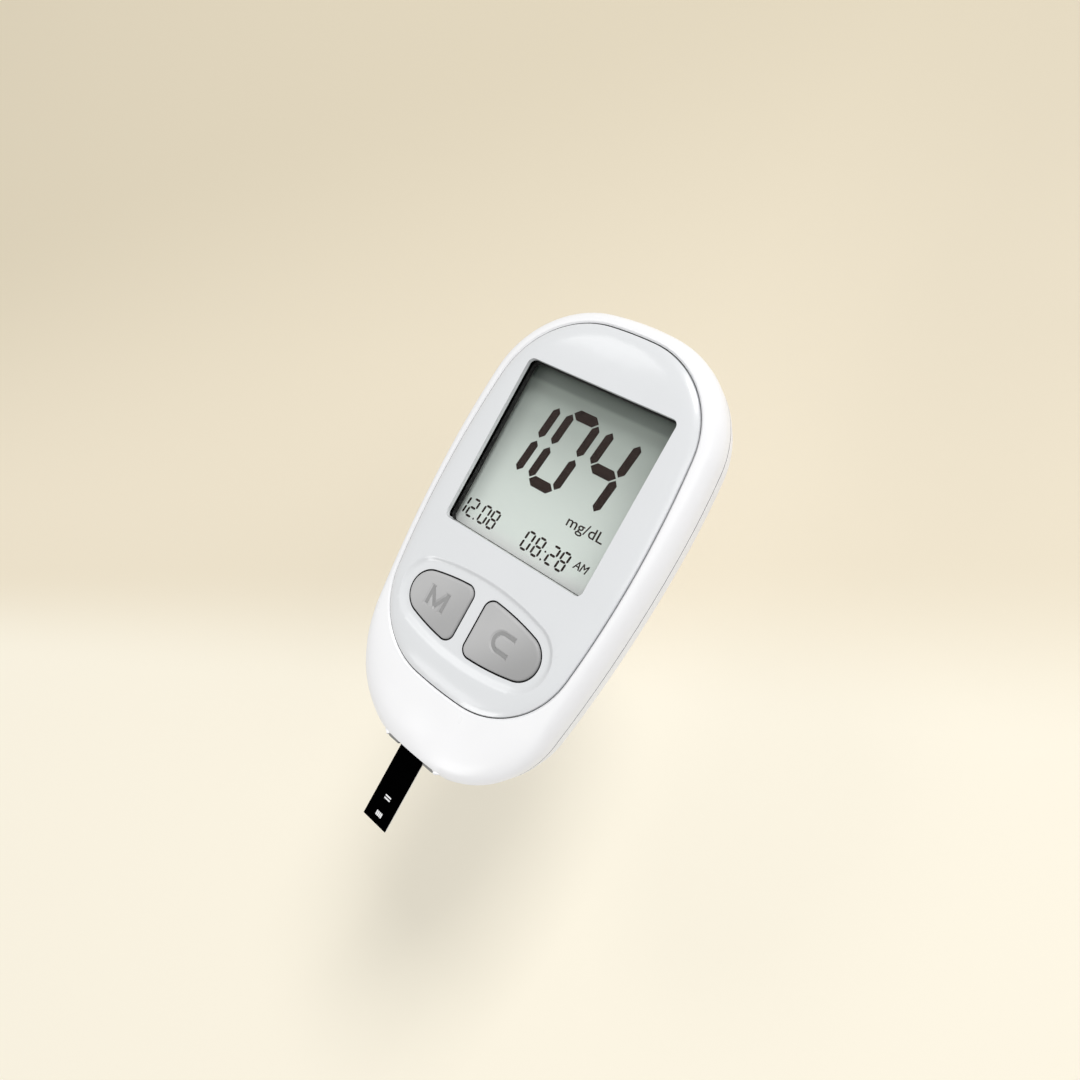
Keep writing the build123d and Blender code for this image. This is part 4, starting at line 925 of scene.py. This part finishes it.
def word(text, left, base, width, height, low, thickness, slant=0.0, bolder=0.0):
    """Type as a flat solid, fitted to a width and a height above its base line, in mm.

    The flat letters are drawn up into solids, fattened along their normals to make them
    bolder, and made level again."""
    bpy.ops.object.text_add(location=(0, 0, 0))
    piece = bpy.context.active_object
    piece.data.body = text
    piece.data.size = height * MM
    piece.data.shear = slant
    only(piece)
    bpy.ops.object.convert(target="MESH")
    bpy.ops.object.mode_set(mode="EDIT")
    bpy.ops.mesh.select_all(action="SELECT")
    bpy.ops.mesh.remove_doubles(threshold=TYPE_WELD_MM * MM)
    bpy.ops.mesh.select_all(action="SELECT")
    bpy.ops.mesh.extrude_region_move(TRANSFORM_OT_translate={"value": (0, 0, thickness * MM)})
    bpy.ops.mesh.select_all(action="SELECT")
    bpy.ops.mesh.normals_make_consistent(inside=False)
    bpy.ops.transform.shrink_fatten(value=bolder * MM)
    bpy.ops.object.mode_set(mode="OBJECT")
    for vertex in piece.data.vertices:
        vertex.co.z = thickness * MM if vertex.co.z > thickness * MM / 2 else 0
    xs = [vertex.co.x for vertex in piece.data.vertices]
    top = max(vertex.co.y for vertex in piece.data.vertices)
    piece.data.transform(Matrix.Translation((-min(xs), 0, 0)))
    piece.data.transform(Matrix.Diagonal((width * MM / (max(xs) - min(xs)),
                                          height * MM / top, 1, 1)))
    piece.data.transform(Matrix.Translation((left * MM, base * MM, low * MM)))
    return piece


# %% Unit and morning mark
unit = word("mg/dL", 4.95, 6.93, 8.2, 2.05, CRYSTAL_Z, BAR_THICKNESS, bolder=0.025)
joined([unit], "display_unit", liquid_crystal)
morning = word("AM", 10.3, 0.92, 3.15, 1.6, CRYSTAL_Z, BAR_THICKNESS, 0.2, 0.06)
joined([morning], "display_morning_mark", liquid_crystal)
print("corners in the unit:", len(unit.data.vertices))

# %% [markdown]
# ## Marks on the strip
# Two small white prints lie near the strip's tip, each a row of short dashes.

# %% Strip print
strip_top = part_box("strip_cover")[1].z / MM
strip_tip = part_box("strip_cover")[0].y / MM
DASH_CORNER_MM = 0.08
INK_THICKNESS_MM = 0.008


def dash(x, y, width, height):
    """A thin printed dash on the strip, with its corners drawn in."""
    bpy.ops.mesh.primitive_plane_add(size=MM, location=(0, 0, 0))
    piece = bpy.context.active_object
    bpy.ops.object.mode_set(mode="EDIT")
    bpy.ops.transform.resize(value=(width, height, 1))
    bpy.ops.transform.translate(value=Vector((x, y, strip_top)) * MM)
    bpy.ops.mesh.select_all(action="SELECT")
    bpy.ops.mesh.bevel(offset=DASH_CORNER_MM * MM, segments=2, affect="VERTICES")
    bpy.ops.mesh.select_all(action="SELECT")
    bpy.ops.mesh.extrude_region_move(
        TRANSFORM_OT_translate={"value": (0, 0, INK_THICKNESS_MM * MM)})
    bpy.ops.mesh.select_all(action="SELECT")
    bpy.ops.mesh.normals_make_consistent(inside=False)
    bpy.ops.object.mode_set(mode="OBJECT")
    return piece


dashes = [dash(x, strip_tip + 1.9, 0.32, 1.0) for x in (-0.5, -0.1, 0.3, 0.7)]
dashes += [dash(0.1, strip_tip + up, 1.5, 0.3) for up in (5.2, 5.75)]
marks = joined(dashes, "strip_print", white_ink)
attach(marks, "strip")
print("strip marks lie at z", round(strip_top, 3), "mm")

# %% [markdown]
# ## Screws
# Case screws have a cross recess, which the driver centres in. A cross of two bars is cut
# from each head, after the head's rim has been eased with a bevel.

# %% Case screws
HEAD_RADIUS = 1.9
HEAD_EASE_MM = 0.18
BLADE_SIZE = (2.2, 0.5, 1.4)              # in mm, of each blade of the cross
BLADE_TIP = (0.45, 0.7, 1.0)              # how far a blade narrows into the head
CROSS_TURN_DEG = 20
low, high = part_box("case_screws")
LOWER_X, LOWER_Y = high.x / MM - HEAD_RADIUS, low.y / MM + HEAD_RADIUS
UPPER_X, UPPER_Y = 9.5, high.y / MM - HEAD_RADIUS
SCREW_PLACES = ((UPPER_X, UPPER_Y), (-UPPER_X, UPPER_Y), (LOWER_X, LOWER_Y),
                (-LOWER_X, LOWER_Y))
HEAD_Z = low.z / MM
screws = smooth_copy("case_screws", "case_screw_set", bright_steel)
ease = screws.modifiers.new("ease", "BEVEL")
ease.width = HEAD_EASE_MM * MM
ease.segments = 3
ease.limit_method = "ANGLE"
ease.angle_limit = math.radians(50)
only(screws)
bpy.ops.object.modifier_apply(modifier=ease.name)


def cross_bit(x, y):
    """The tip of a cross driver: two tapering blades."""
    blades = []
    for turn in (0, 90):
        bpy.ops.mesh.primitive_cube_add(size=MM, location=(0, 0, 0))
        blade = bpy.context.active_object
        bpy.ops.object.mode_set(mode="EDIT")
        bpy.ops.transform.resize(value=BLADE_SIZE)
        pick("faces", lambda face: face.normal.z > 0.9)
        bpy.ops.transform.resize(value=BLADE_TIP)
        bpy.ops.object.mode_set(mode="OBJECT")
        blade.data.transform(Matrix.Translation((x * MM, y * MM, HEAD_Z * MM))
                             @ Matrix.Rotation(math.radians(turn + CROSS_TURN_DEG), 4, "Z"))
        blades.append(blade)
    return blades


for x, y in SCREW_PLACES:
    for blade in cross_bit(x, y):
        carve(screws, blade)
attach(screws, "casing")
print("screws have", len(screws.data.polygons), "faces")

# %% [markdown]
# ## Even shading
# A smooth surface averages the directions of the facets that meet at a corner. On the
# mouldings each facet counts there by its area, so a flat face stays flat right up to its
# rounded edge.

# %% Weigh the normals
MOULDINGS = (front_shell, rear_shell, cover_plate, door_panel)
FLAT_FACE_SHARE = 60                      # 50 counts every facet alike
for piece in MOULDINGS:
    weigh = piece.modifiers.new("weigh", "WEIGHTED_NORMAL")
    weigh.mode = "FACE_AREA"
    weigh.weight = FLAT_FACE_SHARE
    weigh.keep_sharp = True
    only(piece)
    bpy.ops.object.modifier_apply(modifier=weigh.name)
print("mouldings with weighted normals:", len(MOULDINGS))

# %% [markdown]
# ## Finish
# The view layer is brought up to date at the end.

# %% Finish
bpy.context.view_layer.update()
